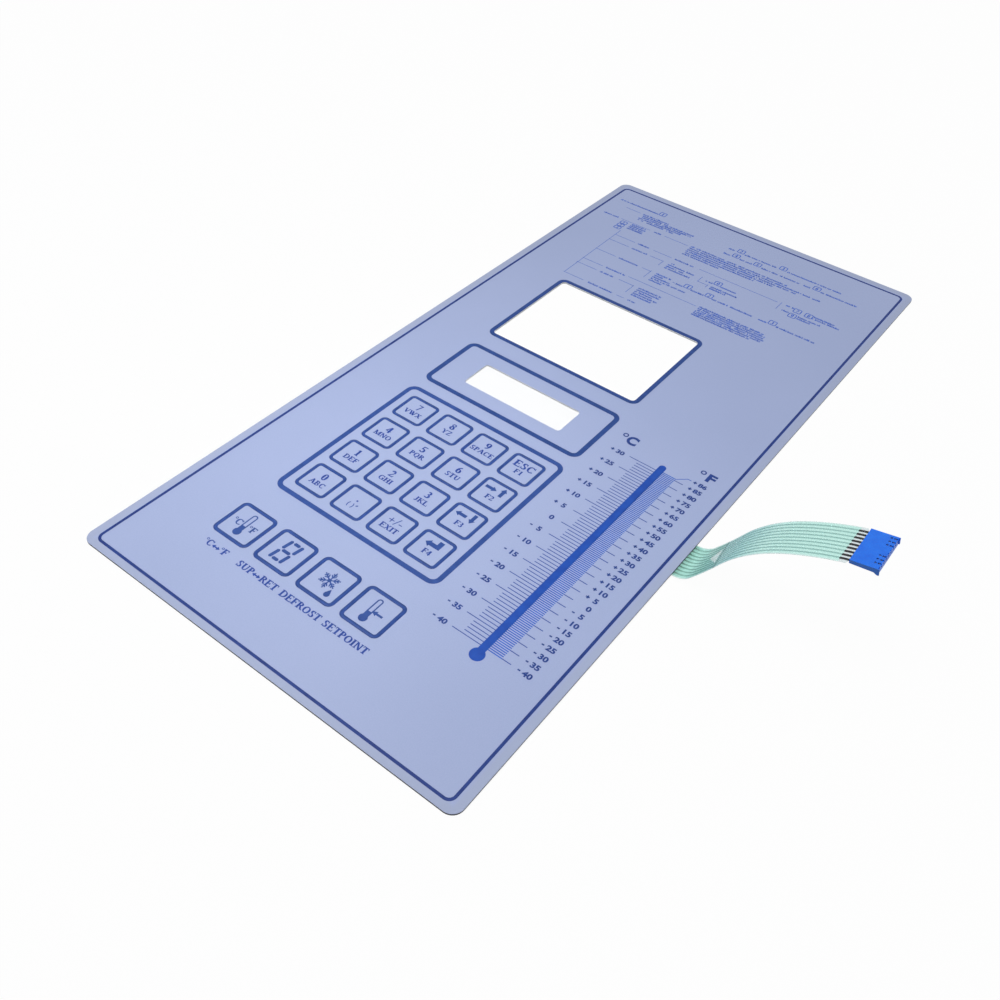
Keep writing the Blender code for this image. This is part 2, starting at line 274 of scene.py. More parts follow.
# %% World and lamps
def studio_world():
    world = bpy.data.worlds.new("studio_sky")
    world.use_nodes = True
    bench = Bench(world.node_tree)
    rays = bench.add("ShaderNodeLightPath").socket.node.outputs
    seen = Wire(bench, rays["Is Camera Ray"])
    sky = world.node_tree.nodes["Background"]
    sky.inputs["Color"].default_value = (0.97, 0.985, 1.0, 1.0)
    outward = bench.add("ShaderNodeTexCoord", output="Generated")
    rise = bench.add("ShaderNodeVectorMath", {"operation": "DOT_PRODUCT"}, {0: outward, 1: SKY_SLOPE},
                     "Value")
    light = rise + SKY_LEVEL
    level = seen * (1.0 - light) + light
    world.node_tree.links.new(level.socket, sky.inputs["Strength"])
    bpy.context.scene.world = world


def softbox(name, place, target, size, power, spread=180):
    data = bpy.data.lights.new(name, "AREA")
    data.spread = math.radians(spread)
    data.shape = "DISK"
    data.size = size
    data.energy = power
    lamp = add_object(name, data)
    lamp.location = place
    lamp.rotation_euler = (Vector(target) - Vector(place)).to_track_quat("-Z", "Y").to_euler()


SKY_LEVEL = 0.31
SKY_SLOPE = (0.0, 0.16, 0.36)
studio_world()
softbox("overhead_softbox", (-0.28, -0.30, 1.0), (0.0, 0.25, 0.0), 0.6, 5.4)
softbox("keypad_softbox", (-0.14, -0.14, 0.60), (-0.045, -0.12, 0.0), 0.2, 0.06, 40)
softbox("rim_softbox", (0.60, 0.80, 0.70), (0.10, 0.0, 0.0), 0.6, 1.0)
bpy.context.scene.view_settings.view_transform = "Standard"
print("lamps", len(bpy.data.lights))

# %% [markdown]
# Where the print goes
# A print is laid out from one corner of the sheet, in millimetres, across and down, as on the
# artwork for a screen. The panel's far left corner is that corner here. One function carries such a
# place over to the model, and another turns flat outlines into a thin closed layer of ink. Ink that
# only lay in the film's own plane would flicker against it, so the layer has a thickness: its top
# stands a little proud and its bottom is sunk into the film.

# %% From artwork to model
PANEL_WIDTH = (high.x - low.x) / MM
PANEL_LENGTH = (high.y - low.y) / MM
INK_PROUD = 0.035
INK_SUNK = 0.015
COAT = 0.003


def on_panel(across, down, above=0.0):
    return Vector((low.x + across * MM, high.y - down * MM, PRINT_Z + above * MM))


def rounded(across, down, width, length, corner, steps=8):
    loop = []
    corner = max(corner, 0.001)
    for quarter, (sx, sy) in enumerate(((1, 1), (-1, 1), (-1, -1), (1, -1))):
        for step in range(steps + 1):
            angle = math.radians(90 * (quarter + step / steps))
            loop.append((across + sx * (width / 2 - corner) + corner * math.cos(angle),
                         down + sy * (length / 2 - corner) + corner * math.sin(angle)))
    return loop


def disc(across, down, radius, steps=24):
    return [(across + radius * math.cos(math.tau * step / steps),
             down + radius * math.sin(math.tau * step / steps)) for step in range(steps)]


def bar(start, end, width):
    begin, finish = Vector(start), Vector(end)
    along = (finish - begin).normalized()
    side = Vector((-along.y, along.x)) * width / 2
    return [tuple(begin + side), tuple(finish + side), tuple(finish - side), tuple(begin - side)]


middle = on_panel(PANEL_WIDTH / 2, PANEL_LENGTH / 2)
print("middle of the panel", [round(value, 4) for value in middle])

# %% A layer from outlines and their holes
def reworked(mesh, work):
    """Opens a mesh, does one piece of work on it and closes it again."""
    form = bmesh.new()
    form.from_mesh(mesh)
    work(form)
    form.to_mesh(mesh)
    form.free()
    return mesh


def layer_mesh(name, shapes, top, bottom):
    """Each shape is a list of loops: its outline, then its holes."""
    points, faces = [], []
    for loops in shapes:
        flat = [[Vector((x, y, 0)) for x, y in loop] for loop in loops]
        count = sum(len(loop) for loop in flat)
        start = len(points)
        for height in (top, bottom):
            points += [on_panel(p.x, p.y, height) for loop in flat for p in loop]
        for triangle in tessellate_polygon(flat):
            faces.append([start + index for index in triangle])
            faces.append([start + count + index for index in reversed(triangle)])
        first = start
        for loop in flat:
            size = len(loop)
            for index in range(size):
                after = (index + 1) % size
                faces.append([first + index, first + after, first + count + after,
                              first + count + index])
            first += size
    mesh = bpy.data.meshes.new(name)
    mesh.from_pydata(points, [], faces)
    return reworked(mesh, lambda form: bmesh.ops.recalc_face_normals(form, faces=form.faces))


def joined(name, meshes):
    form = bmesh.new()
    for mesh in meshes:
        form.from_mesh(mesh)
    result = bpy.data.meshes.new(name)
    form.to_mesh(result)
    form.free()
    return result


def place_piece(name, mesh, material):
    mesh.materials.clear()
    mesh.materials.append(material)
    piece = add_object(name, mesh)
    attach(piece, "root")
    return piece


def coat_numbers(shapes):
    """Strokes that cross lie a few microns over each other, as coats of ink do."""
    boxes, coats = [], []
    for loops in shapes:
        across, down = zip(*loops[0])
        box = (min(across), max(across), min(down), max(down))
        taken = {coat for other, coat in zip(boxes, coats)
                 if box[0] < other[1] and other[0] < box[1]
                 and box[2] < other[3] and other[2] < box[3]}
        boxes.append(box)
        coats.append(min(set(range(len(taken) + 1)) - taken))
    return coats


def ink(name, shapes, material):
    coats = coat_numbers(shapes)
    layers = []
    for coat in sorted(set(coats)):
        strokes = [shape for shape, number in zip(shapes, coats) if number == coat]
        layers.append(layer_mesh(name, strokes, INK_PROUD + coat * COAT, -INK_SUNK - coat * COAT))
    mesh = joined(name, layers)
    place_piece(name, mesh, material)
    print(name, len(mesh.polygons), "faces")


def ring(outer, inner):
    return [outer, inner]


print("a coat of ink is", INK_PROUD + INK_SUNK, "mm thick")

# %% [markdown]
# The printed film
# The panel's face is a polyester film, printed on its back in a soft periwinkle and given a fine
# satin texture, so that it doesn't glare. A single colour would look like paint on a wall. The
# finish therefore drifts a little between two shades over the sheet, has a fine grain in its
# roughness, and a bump that is far smaller than a millimetre. The margin outside the border is a
# little greyer. The cut edge is painted dark round the outside, partly its own dark edge and partly
# painted shade, and painted pale in the two windows as painted light from the white ground behind.

# %% Film and ink finishes
MARGIN = (3.4 * MM, 4.9 * MM)
# Beyond this distance from the outline, the cut edge is painted pale as painted light in the windows.
LIT_WINDOW_WALLS = (9 * MM, 10 * MM)
CUT_EDGE = (PRINT_Z - 0.14 * MM, PRINT_Z - 0.06 * MM)
SATIN_GLARE = 0.36


def from_outline(finish):
    """Distance from the nearest side of the panel's outline."""
    from_side = PANEL_WIDTH / 2 * MM - abs(finish.axis(0))
    from_end = PANEL_LENGTH / 2 * MM - abs(finish.axis(1))
    return from_side.lower_of(from_end)


def satin_film():
    finish = Finish("periwinkle_satin")
    grain = finish.noise(0.0006, 3.0, 0.6)
    cloud = finish.blend(finish.noise(0.11), paint(149, 162, 199), paint(160, 172, 209))
    face = finish.blend(finish.swing(grain, 0.0, 0.22), cloud, paint(179, 189, 222))
    outline = from_outline(finish)
    face = finish.blend(finish.spread(outline, *MARGIN, 0.35, 0.0), face, paint(160, 166, 182))
    # Cut edge: dark outside, its own edge plus painted shade; pale in the windows, painted light.
    cut_edge_shade_and_light = finish.blend(finish.spread(outline, *LIT_WINDOW_WALLS), paint(44, 48, 66), paint(226, 229, 238))
    near_face = finish.spread(finish.axis(2), *CUT_EDGE)
    return finish.set(Base_Color=finish.blend(near_face, cut_edge_shade_and_light, face),
                      Roughness=finish.swing(grain, 0.36, 0.50),
                      Normal=finish.bump(grain, 0.25, 0.00006), Specular_IOR_Level=SATIN_GLARE)


def screen_ink(name, shade, lighter):
    finish = Finish(name)
    grain = finish.noise(0.0005)
    colour = finish.blend(finish.swing(finish.noise(0.004, 3.0)), paint(*shade), paint(*lighter))
    return finish.set(Base_Color=colour, Roughness=finish.swing(grain, 0.36, 0.52),
                      Normal=finish.bump(grain, 0.2, 0.00005), Specular_IOR_Level=SATIN_GLARE)


film_finish = satin_film()
border_ink = screen_ink("border_line_ink", (8, 42, 116), (20, 54, 132))
royal_ink = screen_ink("royal_blue_ink", (20, 57, 124), (32, 69, 140))
key_ink = screen_ink("key_outline_ink", (28, 63, 133), (40, 75, 149))
bright_ink = screen_ink("bright_blue_ink", (2, 64, 160), (10, 76, 176))
slate_ink = screen_ink("slate_lettering_ink", (8, 52, 140), (20, 64, 156))
navy_ink = screen_ink("navy_scale_ink", (10, 48, 124), (22, 60, 140))
faint_ink = screen_ink("fine_print_ink", (8, 74, 178), (20, 86, 194))
mark_ink = screen_ink("scale_mark_ink", (0, 82, 178), (6, 94, 194))
print("finishes", len(bpy.data.materials))

# %% [markdown]
# The sheet and its two windows
# The sheet is cut with a steel rule die: round corners, a wide opening for a card, and a smaller
# window in front of a display, where the film is left unprinted. A die leaves the upper edge very
# slightly rolled. The sheet is one flat outline with two holes, thickened and bevelled by less than
# a tenth of a millimetre, and a separate clear pane sits in the smaller hole.

# %% Printed sheet
COLUMN = PANEL_WIDTH / 2 - 20.1
CARD_WINDOW = (COLUMN, 181.5, 101.6, 76.2, 2.4)
DISPLAY_WINDOW = (COLUMN, 258.3, 66.6, 21.8, 2.2)
PANEL_CORNER = 6.0
FILM_THICKNESS = (high.z - low.z) / MM


def bevel_edges(piece, name, width, sharper_than):
    edge = piece.modifiers.new(name, "BEVEL")
    edge.width = width * MM
    edge.segments = 2
    edge.limit_method = "ANGLE"
    edge.angle_limit = math.radians(sharper_than)


panel = rounded(PANEL_WIDTH / 2, PANEL_LENGTH / 2, PANEL_WIDTH, PANEL_LENGTH, PANEL_CORNER, 12)
sheet_mesh = layer_mesh("printed_sheet", [[panel, rounded(*CARD_WINDOW), rounded(*DISPLAY_WINDOW)]],
                        0.0, -FILM_THICKNESS)
printed_sheet = place_piece("printed_sheet", sheet_mesh, film_finish)
bevel_edges(printed_sheet, "rolled_edge", 0.08, 60)
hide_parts("graphic_overlay")
print("film", round(FILM_THICKNESS, 3), "mm thick")

# %% Clear display pane
def clear_film():
    finish = Finish("clear_display_film")
    smear = finish.noise(0.012)
    tint = finish.blend(smear, paint(236, 240, 246), paint(246, 248, 252))
    return finish.set(Base_Color=tint, Alpha=0.10, Roughness=finish.spread(smear, 0, 1, 0.08, 0.2))


PANE_GAP = 0.02
across, down, width, length, corner = DISPLAY_WINDOW
pane = rounded(across, down, width - PANE_GAP, length - PANE_GAP, corner)
pane_mesh = layer_mesh("display_pane", [[pane]], -PANE_GAP, -FILM_THICKNESS + PANE_GAP)
place_piece("display_pane", pane_mesh, clear_film())
print("pane", width, "by", length, "mm")

# %% [markdown]
# Border and frames
# A thin line runs round the whole sheet, and heavier frames mark the two windows and the keys.
# Each is an outline with a smaller outline as its hole. Three blues are used that differ a little:
# the deepest for the border, the lightest for the frame round the keys.

# %% Lines printed round the sheet, the windows and the keys
def frame_ring(across, down, width, length, corner, line):
    return ring(rounded(across, down, width, length, corner),
                rounded(across, down, width - 2 * line, length - 2 * line, max(corner - line, 0.4)))


KEYPAD_DOWN = 344.3
BORDER = (114.1, 242.2, 218.8, 473.2, 4.2, 1.5)
CARD_FRAME = (COLUMN, 181.5, 107.2, 81.8, 5.2, 2.8)
DISPLAY_FRAME = (COLUMN, 258.5, 107.4, 47.0, 5.6, 3.0)
KEYPAD_FRAME = (COLUMN, KEYPAD_DOWN, 107.2, 108.6, 5.8, 2.8)
ink("border_line", [frame_ring(*BORDER)], border_ink)
ink("window_frames", [frame_ring(*CARD_FRAME), frame_ring(*DISPLAY_FRAME)], royal_ink)
ink("keypad_frame", [frame_ring(*KEYPAD_FRAME)], key_ink)

# %% [markdown]
# Growing what repeats
# Sixteen equal keys, four wider ones and two rows of scale marks would be dull to place one by one.
# Geometry Nodes can lay points out by a rule and put a copy on each. A small class starts such a
# tree with named inputs and closes it, and one function runs the tree once, keeps the plain mesh
# that comes out as a piece and throws the machinery away, because an exported model can't carry it.

# %% A tree that grows a piece
class Growth(Bench):
    def __init__(self, name, sockets):
        super().__init__(bpy.data.node_groups.new(name, "GeometryNodeTree"))
        face = self.tree.interface
        for label, kind in sockets.items():
            face.new_socket(label, in_out="INPUT", socket_type="NodeSocket" + kind)
        face.new_socket("Grown", in_out="OUTPUT", socket_type="NodeSocketGeometry")
        self.entry = self.tree.nodes.new("NodeGroupInput")

    def given(self, label):
        return Wire(self, self.entry.outputs[label])

    def vector(self, x=0.0, y=0.0, z=0.0):
        return self.add("ShaderNodeCombineXYZ", None, {0: x, 1: y, 2: z})

    def step(self, kind, inputs=None, **settings):
        return self.add("GeometryNode" + kind, settings, inputs)

    def line(self, count, start, offset):
        values = {"Count": count, "Start Location": start, "Offset": offset}
        return self.step("MeshLine", values, mode="OFFSET")

    def rectangle(self, width, height):
        return self.step("CurvePrimitiveQuadrilateral", {"Width": width, "Height": height})

    def block(self, size, place):
        cube = self.step("MeshCube", {"Size": size})
        return self.step("Transform", {"Geometry": cube, "Translation": place})

    def copies(self, points, original, **others):
        values = {name.replace("_", " "): value for name, value in others.items()}
        return self.step("InstanceOnPoints", {"Points": points, "Instance": original, **values})

    def close(self, geometry):
        real = self.step("RealizeInstances", {"Geometry": geometry})
        dressed = self.step("SetMaterial", {"Geometry": real, "Material": self.given("Ink")})
        leave = self.tree.nodes.new("NodeGroupOutput")
        self.tree.links.new(dressed.socket, leave.inputs["Grown"])


def extent(mesh):
    sides = ([v.co[axis] for v in mesh.vertices] for axis in range(3))
    return [round((max(side) - min(side)) / MM, 3) for side in sides]


def grow(name, growth, material, values, seed_mesh=None):
    values = {**values, "Ink": material}
    seed = add_object(name + "_seed", seed_mesh or bpy.data.meshes.new(name + "_seed"))
    modifier = seed.modifiers.new("growth", "NODES")
    modifier.node_group = growth.tree
    for item in growth.tree.interface.items_tree:
        if item.in_out == "INPUT" and item.name in values:
            modifier[item.identifier] = values[item.name]
    graph = bpy.context.evaluated_depsgraph_get()
    mesh = bpy.data.meshes.new_from_object(seed.evaluated_get(graph))
    mesh.name = name
    bpy.data.objects.remove(seed)
    place_piece(name, mesh, material)
    print(name, extent(mesh), "mm", len(mesh.polygons), "faces")


print("growing tools ready")

# %% [markdown]
# Key outlines
# Each key is a square with round corners, printed as a heavy line. The tree sweeps a flat strip
# round a rounded square once, and stands a copy on every point of a grid. The same tree serves the
# four wider function keys, with other numbers.

# %% Key outlines
key_grid = Growth("key_outline_grid", {
    "Columns": "Int", "Rows": "Int", "Column Pitch": "Float", "Row Pitch": "Float",
    "Key Size": "Float", "Line": "Float", "Corner": "Float", "Thickness": "Float",
    "Centre": "Vector", "Ink": "Material"})
given = key_grid.given
across_step, down_step = given("Column Pitch"), given("Row Pitch")
to_corner = key_grid.vector((given("Columns") - 1.0) * across_step * -0.5,
                            (given("Rows") - 1.0) * down_step * 0.5)
first_key = key_grid.add("ShaderNodeVectorMath", {"operation": "ADD"},
                         {0: given("Centre"), 1: to_corner})
row_points = key_grid.line(given("Rows"), first_key, key_grid.vector(y=down_step * -1.0))
row_of_keys = key_grid.line(given("Columns"), (0, 0, 0), key_grid.vector(across_step))
key_points = key_grid.step("RealizeInstances", {"Geometry": key_grid.copies(row_points, row_of_keys)})
side = given("Key Size") - given("Line")
softened = key_grid.step("FilletCurve", {"Curve": key_grid.rectangle(side, side),
                                         "Radius": given("Corner"), "Count": 7}, mode="POLY")
strip = key_grid.rectangle(given("Line"), given("Thickness"))
outline = key_grid.step("CurveToMesh", {"Curve": softened, "Profile Curve": strip})
key_grid.close(key_grid.copies(key_points, outline))

INK_BODY = INK_PROUD + INK_SUNK
INK_MIDDLE = (INK_PROUD - INK_SUNK) / 2
KEY_PITCH, FUNCTION_PITCH = (24.3, 24.6), 27.9
KEY_MIDDLE = COLUMN - 0.3
KEYS_DOWN = [307.4, 332.0, 356.6, 381.2]
FUNCTION_DOWN = 427.4
FROM_MIDDLE = (-1.5, -0.5, 0.5, 1.5)
KEY_COLUMNS = [KEY_MIDDLE + KEY_PITCH[0] * step for step in FROM_MIDDLE]
FUNCTION_COLUMNS = [KEY_MIDDLE + FUNCTION_PITCH * step for step in FROM_MIDDLE]
grow("key_outlines", key_grid, key_ink, {
    "Columns": 4, "Rows": 4, "Column Pitch": KEY_PITCH[0] * MM, "Row Pitch": KEY_PITCH[1] * MM,
    "Key Size": 20.2 * MM, "Line": 1.9 * MM, "Corner": 2.1 * MM, "Thickness": INK_BODY * MM,
    "Centre": on_panel(KEY_MIDDLE, KEYPAD_DOWN, INK_MIDDLE)})
grow("function_outlines", key_grid, key_ink, {
    "Columns": 4, "Rows": 1, "Column Pitch": FUNCTION_PITCH * MM, "Row Pitch": 0.0,
    "Key Size": 23.6 * MM, "Line": 2.1 * MM, "Corner": 2.4 * MM, "Thickness": INK_BODY * MM,
    "Centre": on_panel(KEY_MIDDLE, FUNCTION_DOWN - 0.2, INK_MIDDLE)})

# %% [markdown]
# Roman letters from strokes
# The legends are in a book face: thick stems, hairline bars and small flat serifs. Blender's own
# font has none of these, and no font file is read here. A letter can instead be put together as a
# sign writer does it, from a few strokes measured in cap heights. A stem is a thick upright, a hair
# a thin one, a bar a thin level line, a slope a slanted stroke, a bowl an arc that is thick at its
# sides and thin at its top and bottom, a foot a serif, and a tick the thin end of a bar.

# %% Strokes
STEM, HAIR, SERIF, TICK = 0.235, 0.13, 0.1, 0.055


def box_loop(left, low_y, right, high_y):
    return [[(left, low_y), (right, low_y), (right, high_y), (left, high_y)]]


def stem(x, bottom=0.0, top=1.0, width=STEM):
    return box_loop(x - width / 2, bottom, x + width / 2, top)


def tick(x, bottom, top):
    return stem(x, bottom, top, TICK)


def level(y, left, right, width=HAIR):
    return box_loop(left, y - width / 2, right, y + width / 2)


def foot(x, y, left=0.2, right=0.2):
    base = y if y < 0.5 else y - SERIF
    return box_loop(x - left, base, x + right, base + SERIF)


def slope(x0, y0, x1, y1, width=STEM):
    half = width / 2
    return [[(x0 - half, y0), (x0 + half, y0), (x1 + half, y1), (x1 - half, y1)]]


def bowl(x, y, rx, ry, start=0, end=360, side=STEM, thin=HAIR, steps=20):
    outer, inner = [], []
    for step in range(steps + 1):
        angle = math.radians(start + (end - start) * step / steps)
        wide = thin + (side - thin) * abs(math.cos(angle)) ** 1.4
        outer.append((x + rx * math.cos(angle), y + ry * math.sin(angle)))
        inner.append((x + (rx - wide) * math.cos(angle), y + (ry - thin) * math.sin(angle)))
    if end - start == 360:
        return [outer[:-1], inner[:-1]]
    return [outer + inner[::-1]]


def spot(x, y, radius=0.11):
    return [[(x + radius * math.cos(math.tau * step / 14), y + radius * math.sin(math.tau * step / 14))
             for step in range(14)]]


print("stem to hairline", round(STEM / HAIR, 1))

# %% Capitals
LEFT_STEM = [stem(0.24), foot(0.2, 0, 0.16, 0.1), foot(0.2, 1, 0.16, 0.1)]
CAPITALS = {
    "A": (1.06, [slope(0.52, 1.0, 0.15, 0.03, HAIR), slope(0.52, 1.0, 0.88, 0.03, STEM + 0.03),
                 level(0.34, 0.28, 0.74), foot(0.14, 0, 0.15, 0.16), foot(0.89, 0)]),
    "B": (0.98, [*LEFT_STEM,
                 bowl(0.44, 0.75, 0.35, 0.25, -90, 90), bowl(0.46, 0.27, 0.43, 0.27, -90, 90),
                 level(0.965, 0.2, 0.46), level(0.52, 0.2, 0.48), level(0.037, 0.2, 0.48)]),
    "C": (0.98, [bowl(0.53, 0.5, 0.47, 0.51, 42, 318), tick(0.88, 0.68, 1.0)]),
    "D": (1.08, [*LEFT_STEM,
                 bowl(0.48, 0.5, 0.54, 0.5, -90, 90), level(0.963, 0.2, 0.5),
                 level(0.037, 0.2, 0.5)]),
    "E": (0.92, [*LEFT_STEM,
                 level(0.963, 0.2, 0.8), level(0.52, 0.2, 0.62), level(0.037, 0.2, 0.84),
                 tick(0.79, 0.77, 1.0), tick(0.61, 0.38, 0.66),
                 tick(0.84, 0.0, 0.26)]),
    "F": (0.84, [stem(0.24), foot(0.24, 0), foot(0.2, 1, 0.16, 0.1), level(0.963, 0.2, 0.78),
                 level(0.52, 0.2, 0.6), tick(0.77, 0.75, 1.0),
                 tick(0.6, 0.38, 0.66)]),
    "G": (1.08, [bowl(0.53, 0.5, 0.47, 0.51, 42, 300), stem(0.86, 0.03, 0.42),
                 foot(0.86, 0.42, 0.2, 0.16), tick(0.9, 0.68, 1.0)]),
    "H": (1.08, [stem(0.24), stem(0.84), level(0.52, 0.24, 0.84), foot(0.24, 0), foot(0.24, 1),
                 foot(0.84, 0), foot(0.84, 1)]),
    "I": (0.5, [stem(0.25), foot(0.25, 0), foot(0.25, 1)]),
    "J": (0.6, [stem(0.36, 0.2), foot(0.36, 1), bowl(0.19, 0.22, 0.255, 0.24, -150, 0)]),
    "K": (1.06, [stem(0.24), foot(0.24, 0), foot(0.24, 1), slope(0.3, 0.42, 0.82, 0.97, HAIR),
                 slope(0.44, 0.58, 0.9, 0.03), foot(0.82, 1, 0.16, 0.18), foot(0.9, 0)]),
    "L": (0.9, [stem(0.24), foot(0.24, 1), foot(0.2, 0, 0.16, 0.1), level(0.037, 0.2, 0.84),
                tick(0.84, 0.0, 0.28)]),
    "M": (1.32, [stem(0.2, 0, 1, HAIR), slope(0.24, 1.0, 0.64, 0.02),
                 slope(1.06, 1.0, 0.66, 0.02, HAIR), stem(1.1), foot(0.2, 0, 0.16, 0.16),
                 foot(0.18, 1, 0.14, 0.08), foot(1.1, 0), foot(1.1, 1, 0.08, 0.18)]),
    "N": (1.08, [stem(0.22, 0, 1, HAIR), slope(0.24, 1.0, 0.86, 0.0), stem(0.87, 0, 1, HAIR),
                 foot(0.22, 0, 0.16, 0.16), foot(0.18, 1, 0.14, 0.08), foot(0.87, 1, 0.16, 0.16)]),
    "O": (1.06, [bowl(0.53, 0.5, 0.48, 0.51, steps=28)]),
    "P": (0.84, [stem(0.24), foot(0.24, 0), foot(0.2, 1, 0.16, 0.1),
                 bowl(0.42, 0.73, 0.37, 0.27, -90, 90), level(0.963, 0.2, 0.44),
                 level(0.5, 0.2, 0.44)]),
    "Q": (1.06, [bowl(0.53, 0.5, 0.48, 0.51, steps=28), slope(0.52, 0.06, 0.86, -0.22, 0.2)]),
    "R": (0.98, [stem(0.24), foot(0.24, 0), foot(0.2, 1, 0.16, 0.1),
                 bowl(0.42, 0.74, 0.36, 0.26, -90, 90), level(0.963, 0.2, 0.44),
                 level(0.52, 0.2, 0.44), slope(0.48, 0.52, 0.86, 0.02), foot(0.88, 0, 0.14, 0.16)]),
    "S": (0.8, [bowl(0.4, 0.75, 0.29, 0.26, 30, 250), bowl(0.4, 0.26, 0.32, 0.27, -150, 70),
                slope(0.2, 0.68, 0.6, 0.34, 0.2), tick(0.64, 0.7, 1.0),
                tick(0.11, 0.0, 0.32)]),
    "T": (0.9, [stem(0.45), foot(0.45, 0, 0.22, 0.22), level(0.963, 0.06, 0.84),
                tick(0.08, 0.74, 1.0), tick(0.82, 0.74, 1.0)]),
    "U": (1.06, [stem(0.26, 0.34), stem(0.84, 0.34, 1, HAIR), foot(0.26, 1), foot(0.84, 1, 0.16, 0.16),
                 bowl(0.53, 0.36, 0.352, 0.37, 180, 270),
                 bowl(0.53, 0.36, 0.348, 0.37, 270, 360, HAIR)]),
    "V": (1.06, [slope(0.17, 1.0, 0.54, 0.0), slope(0.9, 1.0, 0.57, 0.0, HAIR), foot(0.17, 1),
                 foot(0.9, 1, 0.15, 0.15)]),
    "W": (1.42, [slope(0.17, 1.0, 0.47, 0.0), slope(0.7, 0.94, 0.5, 0.0, HAIR),
                 slope(0.62, 1.0, 0.94, 0.0), slope(1.26, 1.0, 0.97, 0.0, HAIR), foot(0.17, 1),
                 foot(0.62, 1, 0.2, 0.16), foot(1.26, 1, 0.15, 0.15)]),
    "X": (1.06, [slope(0.22, 1.0, 0.84, 0.0, STEM + 0.02), slope(0.84, 1.0, 0.2, 0.0, HAIR),
                 foot(0.22, 1), foot(0.84, 1, 0.16, 0.16), foot(0.2, 0, 0.16, 0.16), foot(0.84, 0)]),
    "Y": (1.04, [slope(0.18, 1.0, 0.52, 0.44), slope(0.88, 1.0, 0.56, 0.44, HAIR),
                 stem(0.53, 0, 0.48), foot(0.18, 1), foot(0.88, 1, 0.16, 0.16), foot(0.53, 0)]),
    "Z": (0.9, [level(0.963, 0.12, 0.8), level(0.037, 0.08, 0.84), slope(0.73, 0.98, 0.16, 0.02, 0.2),
                tick(0.13, 0.76, 1.0), tick(0.84, 0.0, 0.26)]),
}
print("capitals", len(CAPITALS))

# %% Figures and marks
FIGURES = {
    "0": (0.75, [bowl(0.375, 0.5, 0.32, 0.51, steps=28)]),
    "1": (0.75, [stem(0.4), foot(0.4, 0), slope(0.2, 0.8, 0.38, 0.97, HAIR)]),
    "2": (0.75, [bowl(0.35, 0.7, 0.28, 0.31, -20, 165), slope(0.52, 0.56, 0.12, 0.05, 0.13),
                 level(0.06, 0.06, 0.64, 0.12), slope(0.61, 0.0, 0.68, 0.24, 0.07)]),
    "3": (0.75, [bowl(0.33, 0.76, 0.26, 0.25, -80, 150), bowl(0.3, 0.28, 0.34, 0.29, -145, 90),
                 level(0.53, 0.22, 0.42)]),
    "4": (0.75, [stem(0.5), level(0.28, 0.04, 0.72, 0.1), slope(0.47, 1.0, 0.09, 0.3, HAIR)]),
    "5": (0.75, [level(0.94, 0.22, 0.66, 0.12), slope(0.23, 0.98, 0.15, 0.5, HAIR),
                 bowl(0.3, 0.31, 0.35, 0.32, -150, 110)]),
    "6": (0.75, [bowl(0.375, 0.31, 0.32, 0.32, steps=24),
                 bowl(0.6, 0.32, 0.545, 0.69, 98, 180)]),
    "7": (0.75, [level(0.94, 0.08, 0.69, 0.12), slope(0.62, 0.94, 0.3, 0.0, 0.13)]),
    "8": (0.75, [bowl(0.375, 0.76, 0.27, 0.25, 0, 360, 0.13, steps=24),
                 bowl(0.375, 0.27, 0.32, 0.28, steps=24)]),
    "9": (0.75, [bowl(0.375, 0.69, 0.32, 0.32, steps=24),
                 bowl(0.15, 0.68, 0.545, 0.69, 278, 360)]),
    "+": (0.85, [level(0.42, 0.06, 0.76, 0.09), stem(0.41, 0.07, 0.77, 0.09)]),
    "-": (0.55, [level(0.34, 0.08, 0.47, 0.1)]),
    "/": (0.5, [slope(0.05, -0.05, 0.46, 1.02, 0.09)]),
    ".": (0.4, [spot(0.2, 0.1)]),
    "*": (0.7, [slope(0.3, 0.58, 0.4, 0.98, 0.1), slope(0.18, 0.86, 0.52, 0.7, 0.14),
                slope(0.18, 0.7, 0.52, 0.86, 0.14)]),
    "(": (0.5, [bowl(0.56, 0.4, 0.42, 0.66, 122, 238, 0.12)]),
    ")": (0.5, [bowl(-0.06, 0.4, 0.42, 0.66, -58, 58, 0.12)]),
    "o": (0.45, [bowl(0.22, 0.82, 0.18, 0.18, 0, 360, 0.07, 0.07, 16)]),
    " ": (0.38, []),
    "<": (1.3, [level(0.38, 0.3, 0.98, 0.2), [[(0.0, 0.38), (0.42, 0.1), (0.42, 0.66)]],
                [[(1.28, 0.38), (0.86, 0.66), (0.86, 0.1)]]]),
}
ALPHABET = {**CAPITALS, **FIGURES}


def roman(words, across, down, height, bolder=0.0):
    """The middle of the words is at (across, down), both in artwork millimetres, as bolder is."""
    pen = across - sum(ALPHABET[letter][0] for letter in words) * height / 2
    shapes = []
    for letter in words:
        advance, strokes = ALPHABET[letter]
        for stroke in strokes:
            for shift in {-bolder / 2, bolder / 2}:
                shapes.append([[(pen + shift + x * height, down + (0.5 - y) * height) for x, y in loop]
                               for loop in stroke])
        pen += advance * height
    return shapes


print("characters", len(ALPHABET))

